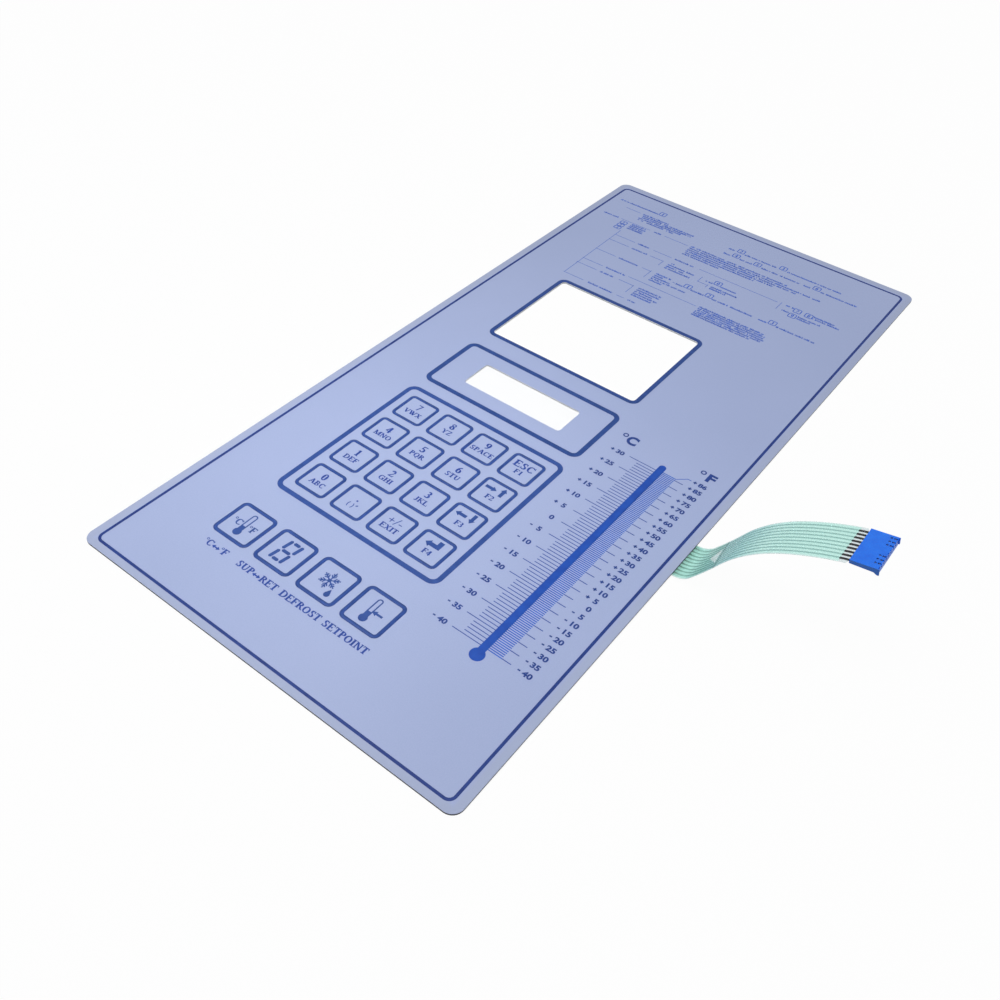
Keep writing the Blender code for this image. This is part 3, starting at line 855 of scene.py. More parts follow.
# %% Legends of the sixteen keys
LEGENDS = [[("7", "VWX"), ("8", "YZ"), ("9", "SPACE"), ("ESC", "F1")],
           [("4", "MNO"), ("5", "PQR"), ("6", "STU"), ("", "F2")],
           [("1", "DEF"), ("2", "GHI"), ("3", "JKL"), ("", "F3")],
           [("0", "ABC"), (".", "( )*"), ("+/-", "EXIT"), ("", "F4")]]
LEGEND_WEIGHT, PICTURE_WEIGHT = 0.08, 0.12
UPPER_DOWN, UPPER_HEIGHT = -3.0, 4.8
LOWER_DOWN, LOWER_HEIGHT = 2.6, 3.25
legend_shapes = []
for key_down, row in zip(KEYS_DOWN, LEGENDS):
    for key_across, (upper, lower) in zip(KEY_COLUMNS, row):
        legend_shapes += roman(upper, key_across, key_down + UPPER_DOWN, UPPER_HEIGHT, LEGEND_WEIGHT)
        legend_shapes += roman(lower, key_across, key_down + LOWER_DOWN, LOWER_HEIGHT, LEGEND_WEIGHT)
ink("key_legends", legend_shapes, slate_ink)

# %% Captions under the function keys
CAPTIONS_DOWN, CAPTION_HEIGHT = FUNCTION_DOWN + 18.4, 3.8
caption_shapes = []
for key_across, words in zip(FUNCTION_COLUMNS, ("oC<oF", "SUP<RET", "DEFROST", "SETPOINT")):
    caption_shapes += roman(words, key_across + 0.3, CAPTIONS_DOWN, CAPTION_HEIGHT, PICTURE_WEIGHT)
ink("function_captions", caption_shapes, slate_ink)

# %% [markdown]
# Arrows and pictures on the keys
# Three keys carry solid arrows instead of a figure, and the wide keys carry small pictures: a
# thermometer between two unit marks, a figure eight made of seven bars, a snow crystal with a drop,
# and a thermometer with a pointer. All of them are flat outlines, so they are drawn point by point
# round their own middle and moved onto their key.

# %% Solid arrows
def turned(loops, quarter_turns):
    result = []
    for loop in loops:
        for _ in range(quarter_turns):
            loop = [(-y, x) for x, y in loop]
        result.append(loop)
    return result


def moved(loops, across, down):
    return [[(x + across, y + down) for x, y in loop] for loop in loops]


ARROW = [[(-3.4, -1.0), (0.8, -1.0), (0.8, -1.9), (3.4, 0), (0.8, 1.9), (0.8, 1.0), (-3.4, 1.0)]]
BENT_ARROW = [[(-4.5, 0.9), (-1.7, -1.5), (-1.7, -0.4), (1.7, -0.4), (1.7, -3.2), (4.5, -3.2),
               (4.5, 2.2), (-1.7, 2.2), (-1.7, 3.3)]]
last_column = KEY_COLUMNS[3]
arrow_shapes = []
for key_down, side_turn, tall_turn in ((KEYS_DOWN[1], 0, 3), (KEYS_DOWN[2], 2, 1)):
    arrow_shapes.append(moved(turned(ARROW, side_turn), last_column - 3.4, key_down - 3.3))
    arrow_shapes.append(moved(turned(ARROW, tall_turn), last_column + 3.5, key_down - 4.0))
arrow_shapes.append(moved(BENT_ARROW, last_column - 0.6, KEYS_DOWN[3] - 3.6))
ink("key_arrows", arrow_shapes, key_ink)


# %% Thermometers
def capsule(across, top, bottom, width, steps=10):
    radius = width / 2
    upper = [(across + radius * math.cos(math.pi * step / steps),
              top + radius - radius * math.sin(math.pi * step / steps)) for step in range(steps + 1)]
    return upper + [(across - radius, bottom), (across + radius, bottom)]


def thermometer(across, down):
    stem_loop = ring(capsule(across, down - 7.9, down + 1.2, 3.2),
                     capsule(across, down - 7.2, down + 0.7, 1.8))
    return [stem_loop, box_loop(across - 1.55, down + 0.7, across + 1.55, down + 4.6),
            [disc(across, down + 5.3, 2.3)]]


unit_key, eight_key, crystal_key, pointer_key = FUNCTION_COLUMNS
picture_shapes = thermometer(unit_key + 0.1, FUNCTION_DOWN)
picture_shapes += roman("oC", unit_key - 4.7, FUNCTION_DOWN + 0.2, 3.9, PICTURE_WEIGHT)
picture_shapes += roman("oF", unit_key + 5.0, FUNCTION_DOWN + 0.2, 3.9, PICTURE_WEIGHT)
picture_shapes += thermometer(pointer_key - 1.3, FUNCTION_DOWN)
POINTER = [[(-0.6, 0), (2.1, -1.5), (2.1, -0.6), (5.6, -0.6), (5.6, 0.6), (2.1, 0.6), (2.1, 1.5)]]
picture_shapes.append(moved(POINTER, pointer_key, FUNCTION_DOWN))
print("outlines so far", len(picture_shapes))

# %% Seven bars, a snow crystal and a drop
SLANT = 0.155


def segment(across, down, start, end, width=1.85):
    first, last = (Vector((x - SLANT * y, y)) for x, y in (start, end))
    along = (last - first).normalized() * width * 0.35
    side = Vector((-along.y, along.x)).normalized() * width / 2
    loop = [first - along, first + side, last + side, last + along, last - side, first - side]
    return [[(across + p.x, down + p.y) for p in loop]]


EIGHT_BARS = [((-1.4, -6.4), (1.4, -6.4)), ((-2.0, 0.0), (2.0, 0.0)), ((-1.4, 6.2), (1.4, 6.2)),
              ((-3.4, -6.7), (-3.4, -1.2)), ((3.4, -6.7), (3.4, -1.2)),
              ((-3.4, 1.1), (-3.4, 6.5)), ((3.4, 1.1), (3.4, 6.5))]
for start, end in EIGHT_BARS:
    picture_shapes.append(segment(eight_key - 0.1, FUNCTION_DOWN - 0.3, start, end))

heart = Vector((crystal_key, FUNCTION_DOWN - 0.8))
for arm in range(6):
    direction = Vector((0, -1, 0))
    direction.rotate(Matrix.Rotation(math.radians(60 * arm), 3, "Z"))
    spine = direction.to_2d()
    side = Vector((-spine.y, spine.x))
    picture_shapes.append([bar(heart + spine * 0.85, heart + spine * 5.4, 0.65)])
    for reach, length in ((1.9, 2.0), (3.3, 1.5)):
        for hand in (-1, 1):
            fork = heart + spine * reach
            tip = fork + (spine * 0.75 + side * hand * 0.66) * length
            picture_shapes.append([bar(fork, tip, 0.6)])

picture_shapes.append([disc(crystal_key, FUNCTION_DOWN - 0.8, 1.1, 6)])


def drop(across, down, radius):
    angles = [math.radians(degrees) for degrees in range(-20, 201, 20)]
    round_part = [(across + radius * math.cos(angle), down + radius * math.sin(angle))
                  for angle in angles]
    return [round_part + [(across, down - radius * 2.3)]]


picture_shapes.append(drop(crystal_key + 4.7, FUNCTION_DOWN + 6.1, 1.55))
ink("function_pictures", picture_shapes, key_ink)

# %% [markdown]
# The two-sided temperature scale
# A tall thermometer is printed beside the keys, with Celsius marks on its left and Fahrenheit marks
# on its right. There are 71 marks on one side and 127 on the other, so a tree lays them out: a line
# of points at one pitch, with a thin bar on each, longer where the count comes to a multiple of
# five. That rule serves the Celsius side. The Fahrenheit marks are all short, and a third run of
# the tree, in the darker ink, carries every fifth of them further out.

# %% Scale marks
scale_marks = Growth("scale_marks", {
    "Count": "Int", "Pitch": "Float", "First": "Int", "Every": "Int", "Short": "Float",
    "Long": "Float", "Line": "Float", "Thickness": "Float", "Start": "Vector", "Turn": "Float",
    "Ink": "Material"})
given = scale_marks.given
mark_points = scale_marks.line(given("Count"), given("Start"),
                               scale_marks.vector(y=given("Pitch") * -1.0))
number = scale_marks.step("InputIndex") + given("First")
left_over = number.maths("MODULO", number, given("Every"))
is_long = left_over.maths("LESS_THAN", left_over, 0.5)
reach = given("Short") + is_long * (given("Long") - given("Short"))
mark_bar = scale_marks.block(scale_marks.vector(1.0, given("Line"), given("Thickness")),
                             (0.5, 0.0, 0.0))
scale_marks.close(scale_marks.copies(
    mark_points, mark_bar, Scale=scale_marks.vector(reach, 1.0, 1.0),
    Rotation=scale_marks.vector(z=given("Turn"))))

TUBE, TUBE_HALF = 186.65, 2.05
TUCKED_IN = 0.5
SCALE_TOP, SCALE_BOTTOM = 260.7, 410.7
FAHRENHEIT_SPAN = SCALE_BOTTOM - SCALE_TOP - 0.5
FAHRENHEIT_REACH, FIVES_REACH = 8.3, 5.0
FAHRENHEIT_LEFT = TUBE + TUBE_HALF - TUCKED_IN
mark_values = {"Every": 5, "First": 0, "Turn": 0.0, "Thickness": INK_BODY * MM}
grow("celsius_marks", scale_marks, slate_ink, {
    **mark_values, "Count": 71, "Pitch": (SCALE_BOTTOM - SCALE_TOP) / 70 * MM, "Turn": math.pi,
    "Short": 11.4 * MM, "Long": 16.8 * MM, "Line": 0.42 * MM,
    "Start": on_panel(TUBE - TUBE_HALF + TUCKED_IN, SCALE_TOP, INK_MIDDLE)})
grow("fahrenheit_marks", scale_marks, mark_ink, {
    **mark_values, "Count": 127, "Pitch": FAHRENHEIT_SPAN / 125 * MM,
    "Short": FAHRENHEIT_REACH * MM, "Long": FAHRENHEIT_REACH * MM, "Line": 0.56 * MM,
    "Start": on_panel(FAHRENHEIT_LEFT, SCALE_TOP - 0.7, INK_MIDDLE)})
grow("fahrenheit_fives", scale_marks, slate_ink, {
    **mark_values, "Count": 26, "Pitch": FAHRENHEIT_SPAN / 25 * MM,
    "Short": FIVES_REACH * MM, "Long": FIVES_REACH * MM, "Line": 0.44 * MM,
    "Start": on_panel(FAHRENHEIT_LEFT + FAHRENHEIT_REACH, SCALE_TOP + 0.5, INK_MIDDLE)})

# %% The blue column and its bulb
column_shape = capsule(TUBE, 255.0, 414.0, 2 * TUBE_HALF, 14)
ink("thermometer_column", [[column_shape], [disc(TUBE, 415.8, 3.75, 40)]], bright_ink)

# %% [markdown]
# Plain bold numbers
# The scale is lettered in a bold face without serifs, which Blender's own font comes near to. Each
# label is a text object with a small outward offset that makes it bolder. It is turned into a mesh,
# scaled to its height, set in its place, and joined with the others into one piece.

# %% Bold labels
def plain_label(words, height, across, down, weight=0.03, wider=1.1):
    curve = bpy.data.curves.new("label", "FONT")
    curve.body = words
    curve.align_x = "CENTER"
    curve.offset = weight
    curve.resolution_u = 4
    curve.extrude = INK_BODY / 2 / height * 0.72
    text = add_object("label", curve)
    graph = bpy.context.evaluated_depsgraph_get()
    mesh = bpy.data.meshes.new_from_object(text.evaluated_get(graph))
    bpy.data.objects.remove(text)
    rises = [v.co.y for v in mesh.vertices]
    size = height / (max(rises) - min(rises)) * MM
    lift = (max(rises) + min(rises)) / 2
    place = Matrix.Translation(on_panel(across, down, INK_MIDDLE))
    scale = Matrix.Diagonal((size * wider, size, size, 1))
    mesh.transform(place @ scale @ Matrix.Translation((0, -lift, 0)))
    return mesh


def label_piece(name, labels, material):
    mesh = joined(name, labels)
    reworked(mesh, lambda form: bmesh.ops.remove_doubles(form, verts=form.verts, dist=1e-7))
    place_piece(name, mesh, material)
    print(name, len(labels), "labels", len(mesh.polygons), "faces")


def scale_label(value, sign_across, across, down):
    digits = plain_label(str(abs(value)), 3.2, across, down, 0.042, 1.2)
    if value == 0:
        return [digits]
    size = 2.0 if value > 0 else 1.4
    arms = [[bar((sign_across - size / 2, down), (sign_across + size / 2, down), 0.75)]]
    if value > 0:
        arms.append([bar((sign_across, down - size / 2), (sign_across, down + size / 2), 0.75)])
    signs = [layer_mesh("sign", [arm], INK_PROUD + coat * COAT, -INK_SUNK)
             for coat, arm in enumerate(arms)]
    return [digits, *signs]


FIRST_LABEL_DOWN, TOP_LABEL_DOWN = 261.3, 255.6
CELSIUS_ACROSS, CELSIUS_PITCH = (157.9, 162.7), 10.68
FAHRENHEIT_ACROSS, FAHRENHEIT_PITCH = (205.8, 210.3), 5.978
labels = []
for step in range(15):
    labels += scale_label(30 - 5 * step, *CELSIUS_ACROSS, FIRST_LABEL_DOWN + CELSIUS_PITCH * step)
for step in range(26):
    labels += scale_label(85 - 5 * step, *FAHRENHEIT_ACROSS, FIRST_LABEL_DOWN + FAHRENHEIT_PITCH * step)
labels += scale_label(86, *FAHRENHEIT_ACROSS, TOP_LABEL_DOWN)
label_piece("scale_numbers", labels, navy_ink)

# %% Unit marks and the line to the top label
UNIT_RINGS = ((157.4, 247.0), (205.4, 245.5))
LEADER = 0.4
units = [plain_label("C", 7.4, 162.8, 249.0, 0.045, 0.97),
         plain_label("F", 6.9, 210.8, 247.4, 0.045, 1.2)]
label_piece("unit_letters", units, navy_ink)
ink("unit_rings", [ring(disc(*place, 1.65), disc(*place, 0.9)[::-1]) for place in UNIT_RINGS], navy_ink)
ink("leader_line", [[bar((196.4, 260.2), (201.4, TOP_LABEL_DOWN), LEADER)],
                    [bar((201.3, TOP_LABEL_DOWN), (203.6, TOP_LABEL_DOWN), LEADER)]], faint_ink)

# %% [markdown]
# The instruction print
# The far end of the panel is covered with fine print: a tree of thin lines that leads from step to
# step, small boxed keys, and blocks of text. The words belong to one product and are left out.
# Rows of letter-like marks stand in their place. The text rows are edges of a mesh, and a tree
# walks along them, drops a mark at every pitch and skips some, so that the marks fall into words.

# %% A tree that writes unreadable words
fine_print = Growth("fine_print_words", {
    "Rows": "Geometry", "Pitch": "Float", "Mark Size": "Float", "Thickness": "Float",
    "Gaps": "Float", "Seed": "Int", "Ink": "Material"})


def mark(*parts):
    blocks = [fine_print.block((width, height, 1.0), (x, y, 0.0)) for width, height, x, y in parts]
    whole = fine_print.step("JoinGeometry", {"Geometry": blocks})
    return fine_print.step("GeometryToInstance", {"Geometry": whole})


marks = [mark((0.24, 1.0, -0.24, 0.0), (0.24, 1.0, 0.24, 0.0), (0.24, 0.26, 0.0, 0.37)),
         mark((0.26, 1.5, -0.1, 0.25), (0.26, 1.0, 0.26, 0.0)),
         mark((0.24, 1.0, -0.26, 0.0), (0.4, 0.26, 0.06, 0.37), (0.4, 0.26, 0.06, -0.37)),
         mark((0.24, 1.0, 0.26, 0.0), (0.28, 0.26, 0.0, -0.37), (0.24, 1.0, -0.26, 0.0))]
mark_set = fine_print.step("JoinGeometry", {"Geometry": marks})
given = fine_print.given
row_curves = fine_print.step("MeshToCurve", {"Mesh": given("Rows")})
letter_places = fine_print.step("ResampleCurve", {"Curve": row_curves, "Length": given("Pitch")},
                                mode="LENGTH")
is_letter = fine_print.add("FunctionNodeRandomValue", {"data_type": "FLOAT"},
                           {"Seed": given("Seed")}, 1)
shown = is_letter.maths("GREATER_THAN", is_letter, given("Gaps"))
which = fine_print.add("FunctionNodeRandomValue", {"data_type": "INT"},
                       {4: 0, 5: len(marks) - 1, "Seed": given("Seed") + 1.0}, 2)
mark_scale = fine_print.vector(given("Mark Size"), given("Mark Size"), given("Thickness"))
fine_print.close(fine_print.copies(letter_places, mark_set, Selection=shown, Pick_Instance=True,
                                   Instance_Index=which, Scale=mark_scale))
print("marks to choose from", len(marks))

# %% Rows of text, by block
TEXT_ROWS = [(12, 43, 23.5), (13, 24, 47.6), (55, 59.5, 47.4), (55, 64, 69), (84.5, 99, 69),
             (55, 66, 77), (55, 69, 93.8), (55, 69, 110), (55, 66, 117), (56, 74, 133.3),
             (86, 91.5, 133.3)]
TEXT_ROWS += [(105.5, 110, 30.4), (118, 141.5, 30.4), (150.5, 189, 30.4), (105.5, 110, 38.2),
              (118, 126.5, 38.2), (134.5, 162, 38.2), (166, 170, 38.2), (178.5, 203, 38.2)]
TEXT_ROWS += [(167, 173, 68.3), (187.5, 201, 68.6), (187.5, 205, 70.8), (167, 172, 75),
              (179.5, 194, 75.4), (179.5, 188, 77.6), (114, 118, 78.4), (125, 135.5, 78.4),
              (120, 138.5, 82.6), (120, 131, 85.0)]
TEXT_ROWS += [(100.5, 105, 95.2), (111.7, 120.5, 95.2), (127.6, 157, 95.2), (161.5, 166.5, 95.2),
              (173.7, 199.5, 95.2)]
TEXT_BLOCKS = [(36, 31.2, 2.2, (57, 78, 77, 70, 65)), (37.5, 49.2, 2.2, (48, 49, 48, 49)),
               (84.5, 46.6, 2.45, (157, 182, 166, 150, 137, 112)),
               (84.5, 75.6, 2.5, (87, 104, 97, 103)), (84.5, 93.5, 2.4, (95, 90, 97, 110, 93)),
               (126, 108.6, 2.1, (171, 174, 173, 174, 173, 166)),
               (85, 116.6, 2.45, (101, 101, 97, 102, 99))]
for left, first, pitch, ends in TEXT_BLOCKS:
    TEXT_ROWS += [(left, end, first + pitch * row) for row, end in enumerate(ends)]

row_ends = []
for left, right, down in TEXT_ROWS:
    row_ends += [on_panel(left, down, INK_MIDDLE), on_panel(right, down, INK_MIDDLE)]
rows_mesh = bpy.data.meshes.new("text_rows")
rows_mesh.from_pydata(row_ends, [(i, i + 1) for i in range(0, len(row_ends), 2)], [])
grow("fine_print_words", fine_print, faint_ink, {
    "Pitch": 0.88 * MM, "Mark Size": 1.3 * MM, "Thickness": INK_BODY * MM, "Gaps": 0.09,
    "Seed": 7}, rows_mesh)
print("rows", len(TEXT_ROWS))

# %% Leading lines, brackets and boxed keys
LINES = [(21, 31, 33, 31), (27, 47.4, 51, 47.4), (63, 47.2, 82, 47.2), (35.6, 62, 36.8, 133.3),
         (103, 68.6, 161.5, 68.6), (164, 67, 164, 76.5), (79.5, 76.3, 79.5, 83.3),
         (109.5, 75.5, 109.5, 82.5), (109.5, 82.5, 116.5, 82.5), (117, 81.5, 117, 85.5),
         (79.8, 92.5, 79.8, 103), (97.5, 95, 99.5, 95), (72, 109.3, 123.5, 109.3),
         (80.5, 116, 80.5, 126.5), (78, 133.3, 83.5, 133.3)]
LINES += [(35.7, down, 52, down) for down in (69, 77, 93.8, 110, 117, 133.3)]
LINES += [(67, 69, 81.5, 69), (69, 76.8, 79.5, 76.8), (73, 93.6, 79.8, 93.6),
          (69, 116.6, 80.5, 116.6)]
LEADING = 0.28
ink("leading_lines", [[bar((x0, y0), (x1, y1), LEADING)] for x0, y0, x1, y1 in LINES], faint_ink)

BOXED = [(46.4, 21.4, "1"), (114, 28.2, "2"), (146.2, 28.2, "3"), (114, 35.8, "4"), (130.4, 35.8, "5"),
         (174.5, 35.8, "6"), (31.5, 51.2, "1"), (31.5, 55.4, "2"), (31.5, 59.6, "3"),
         (176.2, 69.6, "7"),
         (184.2, 69.6, "8"), (175.8, 76.6, "9"), (121.6, 75.9, "0"), (108.2, 92.8, "1"),
         (124.2, 92.8, "2"), (170, 92.8, "3")]
LOW_BOXES_END = 35
box_shapes = []
for across, down, digit in BOXED:
    tall, figure = (4.0, 2.2) if across < LOW_BOXES_END else (5.2, 3.0)
    box_shapes.append(frame_ring(across, down, 5.4, tall, 1.1, 0.52))
    box_shapes += roman(digit, across, down, figure)
ink("boxed_keys", box_shapes, faint_ink)

# %% [markdown]
# The layers under the face
# Seen from the side, the panel is a stack of films: adhesive, two clear circuit films with a spacer
# between them, more adhesive, and the paper liner that is peeled off before the panel is stuck on.
# Their shapes in the measured model are right, so they stay, and each gets a finish of its own. The
# cut edge is painted dark from outside, partly its own dark edge and partly painted shade. Inside
# the windows it is painted pale, as painted light from the white ground, as on the printed film.

# %% Finishes of the layers
def cut_film(name, shade, lighter, roughness):
    finish = Finish(name)
    cloud = finish.noise(0.03)
    fibre = finish.noise(0.0012, 3.0, 0.6, (1.0, 1.0, 6.0))
    # The edge colour is partly the film's own dark edge and partly painted shade.
    edge = finish.blend(finish.spread(cloud + fibre, 0.7, 1.3), paint(*shade), paint(*lighter))
    # In the windows the edge is painted pale, as painted light from the white ground.
    painted_window_light = finish.spread(from_outline(finish), *LIT_WINDOW_WALLS)
    colour = finish.blend(painted_window_light, edge, paint(236, 238, 242))
    return finish.set(Base_Color=colour, Roughness=finish.swing(fibre, roughness, roughness + 0.12),
                      Normal=finish.bump(fibre, 0.2, 0.00005), Specular_IOR_Level=0.12)


# Edge shades of each layer: partly their own colour, partly painted shade.
LAYER_FINISHES = {
    "release_liner": cut_film("liner_kraft", (46, 43, 44), (64, 60, 60), 0.6),
    "rear_adhesive": cut_film("rear_adhesive_edge", (26, 28, 38), (40, 42, 54), 0.3),
    "circuit_spacer": cut_film("spacer_edge", (34, 36, 48), (50, 52, 66), 0.35),
    "upper_circuit_film": cut_film("upper_film_edge", (28, 36, 44), (44, 52, 60), 0.25),
    "overlay_adhesive": cut_film("overlay_adhesive_edge", (26, 28, 40), (40, 42, 56), 0.3),
}


def dress(node, material):
    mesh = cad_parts[node].data
    mesh.materials.clear()
    mesh.materials.append(material)


for node, material in LAYER_FINISHES.items():
    dress(node, material)
print("layers dressed", len(LAYER_FINISHES))

# %% [markdown]
# The flexible tail
# The lower circuit film runs out from under the panel as a flat tail and carries nine printed
# silver tracks. The film is mint green from its insulating coat, which stops a few millimetres
# before the plug, and the bare end is nearly clear. Its route is read back from the measured film:
# the vertices of its far edge lie in pairs, one above and one below, and their middles are the
# stations of a curve.

# %% Read the tail's route
panel_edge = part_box("release_liner")[1].x
tail_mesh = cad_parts["lower_circuit_film"].data
outside = [v.co for v in tail_mesh.vertices if v.co.x > panel_edge + 0.05 * MM]
tail_far = max(v.y for v in outside)
tail_near = min(v.y for v in outside)
edge = sorted({(round(v.x, 7), round(v.z, 7)) for v in outside if abs(v.y - tail_far) < 1e-6})
stations = []
while edge:
    here = edge.pop(0)
    partner = min(edge, key=lambda other: math.dist(here, other))
    edge.remove(partner)
    stations.append(((here[0] + partner[0]) / 2, (here[1] + partner[1]) / 2))
stations.sort()
tail_gauge = math.dist(here, partner)
(x0, z0), (x1, z1) = stations[-2:]
SHOULDER_TO_MOUTH, INTO_PLUG = 0.97 * MM, 3.0 * MM
MOUTH_X = x1 + SHOULDER_TO_MOUTH
stations.append((x1 + INTO_PLUG, z1 + INTO_PLUG * (z1 - z0) / (x1 - x0)))
stations.insert(0, (panel_edge, stations[0][1]))
print("stations", len(stations), "film", round(tail_gauge / MM, 3), "mm", "ends at",
      [round(value / MM, 1) for value in stations[-1]])

# %% [markdown]
# Printed tracks along the tail
# Nine equal tracks run the whole way at the plug's pitch. A tree sweeps them all at once: it sets
# nine flat rectangles side by side as one section and draws that section along the route. They are
# a little thicker than the film, so they show on both of its faces, as silver does through clear
# film. The same tree, with a wider and shorter section, makes the black carbon ends.

# %% Tracks that follow a route
tail_print = Growth("tail_print", {
    "Route": "Geometry", "Tracks": "Int", "Pitch": "Float", "Width": "Float", "Thickness": "Float",
    "Ink": "Material"})
given = tail_print.given
route = tail_print.step("MeshToCurve", {"Mesh": given("Route")})
section = tail_print.rectangle(given("Width"), given("Thickness"))
first_track = tail_print.vector((given("Tracks") - 1.0) * given("Pitch") * -0.5)
track_places = tail_print.line(given("Tracks"), first_track, tail_print.vector(given("Pitch")))
sections = tail_print.copies(track_places, section)
whole_section = tail_print.step("RealizeInstances", {"Geometry": sections})
tail_print.close(tail_print.step("CurveToMesh", {
    "Curve": route, "Profile Curve": whole_section, "Fill Caps": True}))


def route_between(start_x, end_x):
    places = []
    for (x0, z0), (x1, z1) in zip(stations, stations[1:]):
        for limit in (start_x, end_x):
            if x0 <= limit < x1:
                share = (limit - x0) / (x1 - x0)
                places.append((limit, z0 + share * (z1 - z0)))
        if start_x < x1 < end_x:
            places.append((x1, z1))
    middle_y = (tail_far + tail_near) / 2
    mesh = bpy.data.meshes.new("route")
    points = [(x, middle_y, z) for x, z in sorted(set(places))]
    mesh.from_pydata(points, [(i, i + 1) for i in range(len(points) - 1)], [])
    return mesh


route_length = sum(math.dist(here, there) for here, there in zip(stations, stations[1:]))
print("route", round(route_length / MM, 1), "mm long")

# %% [markdown]
# Shades of the bends
# Each bend of the tail meets the light at its own angle, and the film's shine changes with it. The
# shades are therefore painted light and shade, given at distances from the panel's edge, as two
# lists, because a slanting crease divides the apron at the root from the rise behind it. A painted
# highlight lies on a facet in front of the crease, and the crease is a thin line of painted shade.
# The crease and the facet's two sides are lines seen from above, and the distance from such a line
# makes the mask.

# %% Crease and facet
SHADED_RUN = 42.0
CREASE, ACROSS_CREASE = (131.3, -67.2), (1.0, 0.142)
FACET_CORNER, FACET_SIDES = (125.9, -64.1), ((6.9, 4.5), (6.3, -3.5))


def side_of(finish, point, normal):
    """Distance from a line on the tail, seen from above: positive on the normal's side."""
    offset = finish.add("ShaderNodeVectorMath", {"operation": "SUBTRACT"},
                        {0: finish.place, 1: (point[0] * MM, point[1] * MM, 0.0)})
    direction = Vector((*normal, 0.0)).normalized()
    return finish.add("ShaderNodeVectorMath", {"operation": "DOT_PRODUCT"},
                      {0: offset, 1: direction}, "Value")


def along_tail(finish, apron, rise):
    """Painted light and shade at distances from the panel's edge, one list before the crease and one
    after it.
    """
    share = (finish.axis(0) - panel_edge) / (SHADED_RUN * MM)
    ramps = []
    for shades in (apron, rise):
        stops = [(distance / SHADED_RUN, paint(*shade)) for distance, shade in shades]
        ramps.append(finish.add("ShaderNodeValToRGB", {"stops": stops}, {"Fac": share}))
    past_crease = finish.spread(side_of(finish, CREASE, ACROSS_CREASE), 0.0, 0.3 * MM)
    return finish.blend(past_crease, *ramps)


def creased(finish, colour):
    """A painted highlight on the facet in front of the crease, and painted shade along the crease as a
    thin dark line.
    """
    fold = side_of(finish, CREASE, ACROSS_CREASE)
    nearest = -0.6 * MM - fold
    for normal in FACET_SIDES:
        nearest = nearest.lower_of(side_of(finish, FACET_CORNER, normal))
    facet_highlight = finish.spread(nearest, 0.0, 0.5 * MM, 0.0, 0.85)
    # Painted highlight on the facet.
    colour = finish.blend(facet_highlight, colour, paint(226, 244, 238))
    # Painted shade along the crease.
    line = finish.spread(abs(fold), 0.15 * MM, 0.45 * MM, 0.6, 0.0)
    return finish.blend(line, colour, paint(76, 120, 112))


print("shades reach", SHADED_RUN, "mm from the panel")

# %% Tracks and carbon ends
def silver_track():
    finish = Finish("silver_track_under_mint")
    wear = finish.noise(0.0015, 3.0, 0.6, (0.3, 3.0, 1.0))
    # Painted light and shade of the bends on the tracks, darkest at the panel's edge.
    base = along_tail(finish, [(0, (44, 88, 74)), (2, (92, 146, 130)), (4.5, (132, 188, 174)),
                               (8, (120, 176, 164)), (11.5, (84, 146, 132)), (18, (92, 150, 140))],
                      [(15, (118, 168, 162)), (24, (126, 180, 172)), (36, (146, 196, 188))])
    colour = finish.blend(finish.swing(wear, 0.0, 0.2), base, paint(196, 224, 216))
    return finish.set(Base_Color=creased(finish, colour), Metallic=0.15,
                      Roughness=finish.swing(wear, 0.34, 0.5))


def carbon_print():
    finish = Finish("carbon_print")
    speck = finish.noise(0.0004, 3.0, 0.7)
    colour = finish.blend(finish.swing(speck), paint(16, 16, 20), paint(34, 34, 38))
    return finish.set(Base_Color=colour, Roughness=finish.swing(speck, 0.5, 0.75),
                      Normal=finish.bump(speck, 0.4, 0.00004))


BARE_START = MOUTH_X - 3.9 * MM
track_values = {"Tracks": 9, "Pitch": 2.54 * MM, "Width": 0.95 * MM,
                "Thickness": tail_gauge + 0.05 * MM}
grow("tail_tracks", tail_print, silver_track(), track_values,
     route_between(panel_edge, BARE_START))
carbon_values = {**track_values, "Width": 1.3 * MM, "Thickness": tail_gauge + 0.07 * MM}
grow("carbon_ends", tail_print, carbon_print(), carbon_values,
     route_between(BARE_START - 0.3 * MM, MOUTH_X + 1.2 * MM))

# %% [markdown]
# Mint coat and bare film
# The tail is one film with two looks, coated and bare. Two separate pieces would need a seam that
# the real tail hasn't got. The material changes instead, at a place along X, which lies along the
# tail: before it the film is mint and nearly opaque, after it clear. The coat carries the painted
# light and shade of the bends, as the tracks do, and its two margins are paler.

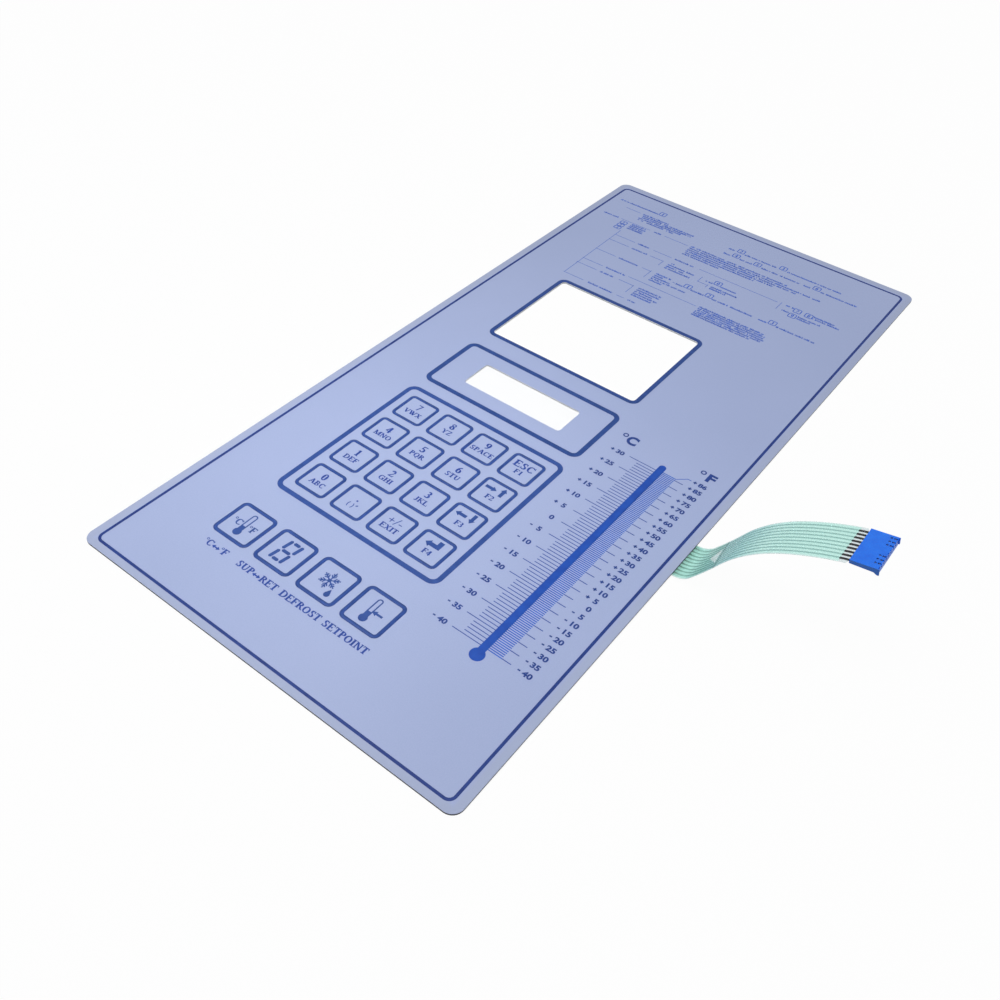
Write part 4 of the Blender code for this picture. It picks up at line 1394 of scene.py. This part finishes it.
# %% Mint film
def mint_film():
    finish = Finish("mint_coated_film")
    along = finish.axis(0)
    bare = finish.spread(along, BARE_START - 0.1 * MM, BARE_START + 0.1 * MM)
    off_middle = abs(finish.axis(1) - (tail_far + tail_near) / 2)
    margin = finish.spread(off_middle, 11.8 * MM, 12.1 * MM)
    cloud = finish.noise(0.008, 3.0)
    # Painted light and shade of the bends on the coat, darkest at the panel's edge.
    coat = along_tail(finish, [(0, (118, 176, 160)), (2, (152, 209, 196)), (4.5, (175, 230, 218)),
                               (8, (172, 226, 214)), (11.5, (150, 212, 198)), (18, (146, 204, 194))],
                      [(15, (152, 207, 197)), (24, (170, 224, 214)), (36, (198, 243, 233))])
    coat = finish.blend(finish.swing(cloud, 0.0, 0.15), coat, paint(214, 246, 238))
    coat = finish.blend(margin * 0.7, coat, paint(216, 238, 234))
    coat = creased(finish, coat)
    # Up to the panel's edge the film is painted dark, as painted shade under the panel.
    past_edge = finish.spread(along, panel_edge - 0.02 * MM, panel_edge + 0.02 * MM)
    coat = finish.blend(past_edge, paint(34, 44, 52), coat)
    colour = finish.blend(bare, coat, paint(206, 224, 226))
    return finish.set(Base_Color=colour, Alpha=finish.spread(bare, 0, 1, 0.95, 0.42),
                      Roughness=finish.swing(cloud, 0.22, 0.34))


dress("lower_circuit_film", mint_film())
print("bare film starts at", round(BARE_START / MM, 2), "mm")

# %% [markdown]
# The plug
# The plug is a small moulded housing, open towards the film, with a row of ways for the pins. The
# measured solid has the right shape, but its edges are as sharp as a drawing's, and a moulding's
# never are. A copy is therefore joined into one skin, its flat faces are merged, and a narrow bevel
# runs round every edge to catch the light. Its near wall is painted a deeper blue as painted shade.

# %% Blue housing
def moulded_blue():
    finish = Finish("moulded_blue_plastic")
    flow = finish.noise(0.004, 3.0)
    grain = finish.noise(0.0003, 3.0, 0.6)
    colour = finish.blend(finish.swing(flow), paint(0, 102, 226), paint(6, 116, 238))
    near_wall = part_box("connector_housing")[0].y
    # The near wall is painted a deeper blue as painted shade.
    near_wall_painted_shade = finish.spread(finish.axis(1), near_wall + 0.03 * MM, near_wall + 0.2 * MM, 1.0, 0.0)
    colour = finish.blend(near_wall_painted_shade, colour, paint(8, 94, 186))
    return finish.set(Base_Color=colour, Roughness=finish.swing(grain, 0.34, 0.48),
                      Normal=finish.bump(grain, 0.3, 0.00004))


def one_skin(form):
    bmesh.ops.remove_doubles(form, verts=form.verts, dist=2e-6)
    bmesh.ops.dissolve_limit(form, angle_limit=math.radians(1.0), verts=form.verts, edges=form.edges)


housing_mesh = reworked(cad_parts["connector_housing"].data.copy(), one_skin)
housing = place_piece("moulded_housing", housing_mesh, moulded_blue())
bevel_edges(housing, "moulded_edge", 0.12, 40)
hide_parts("connector_housing")
print("housing faces", len(housing_mesh.polygons))

# %% Crimp contacts
def tinned_metal():
    finish = Finish("tinned_contact")
    stain = finish.noise(0.0012, 3.0)
    colour = finish.blend(finish.swing(stain), paint(186, 184, 178), paint(214, 213, 208))
    return finish.set(Base_Color=colour, Metallic=1.0, Roughness=finish.swing(stain, 0.22, 0.4))


tin = tinned_metal()
contact_nodes = [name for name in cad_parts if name.startswith("crimp_contact")]
for node in contact_nodes:
    dress(node, tin)
print("contacts", len(contact_nodes))

# %% [markdown]
# Closing the scene
# The finished model has to keep the measured size. The box of the imported model, kept at the start,
# and the box of the dressed one are printed side by side.

# %% Sizes and finish
written = [[list(corner) for corner in box] for box in (cad_bounds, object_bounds())]
for box in written:
    print([[round(value / MM, 2) for value in corner] for corner in box])
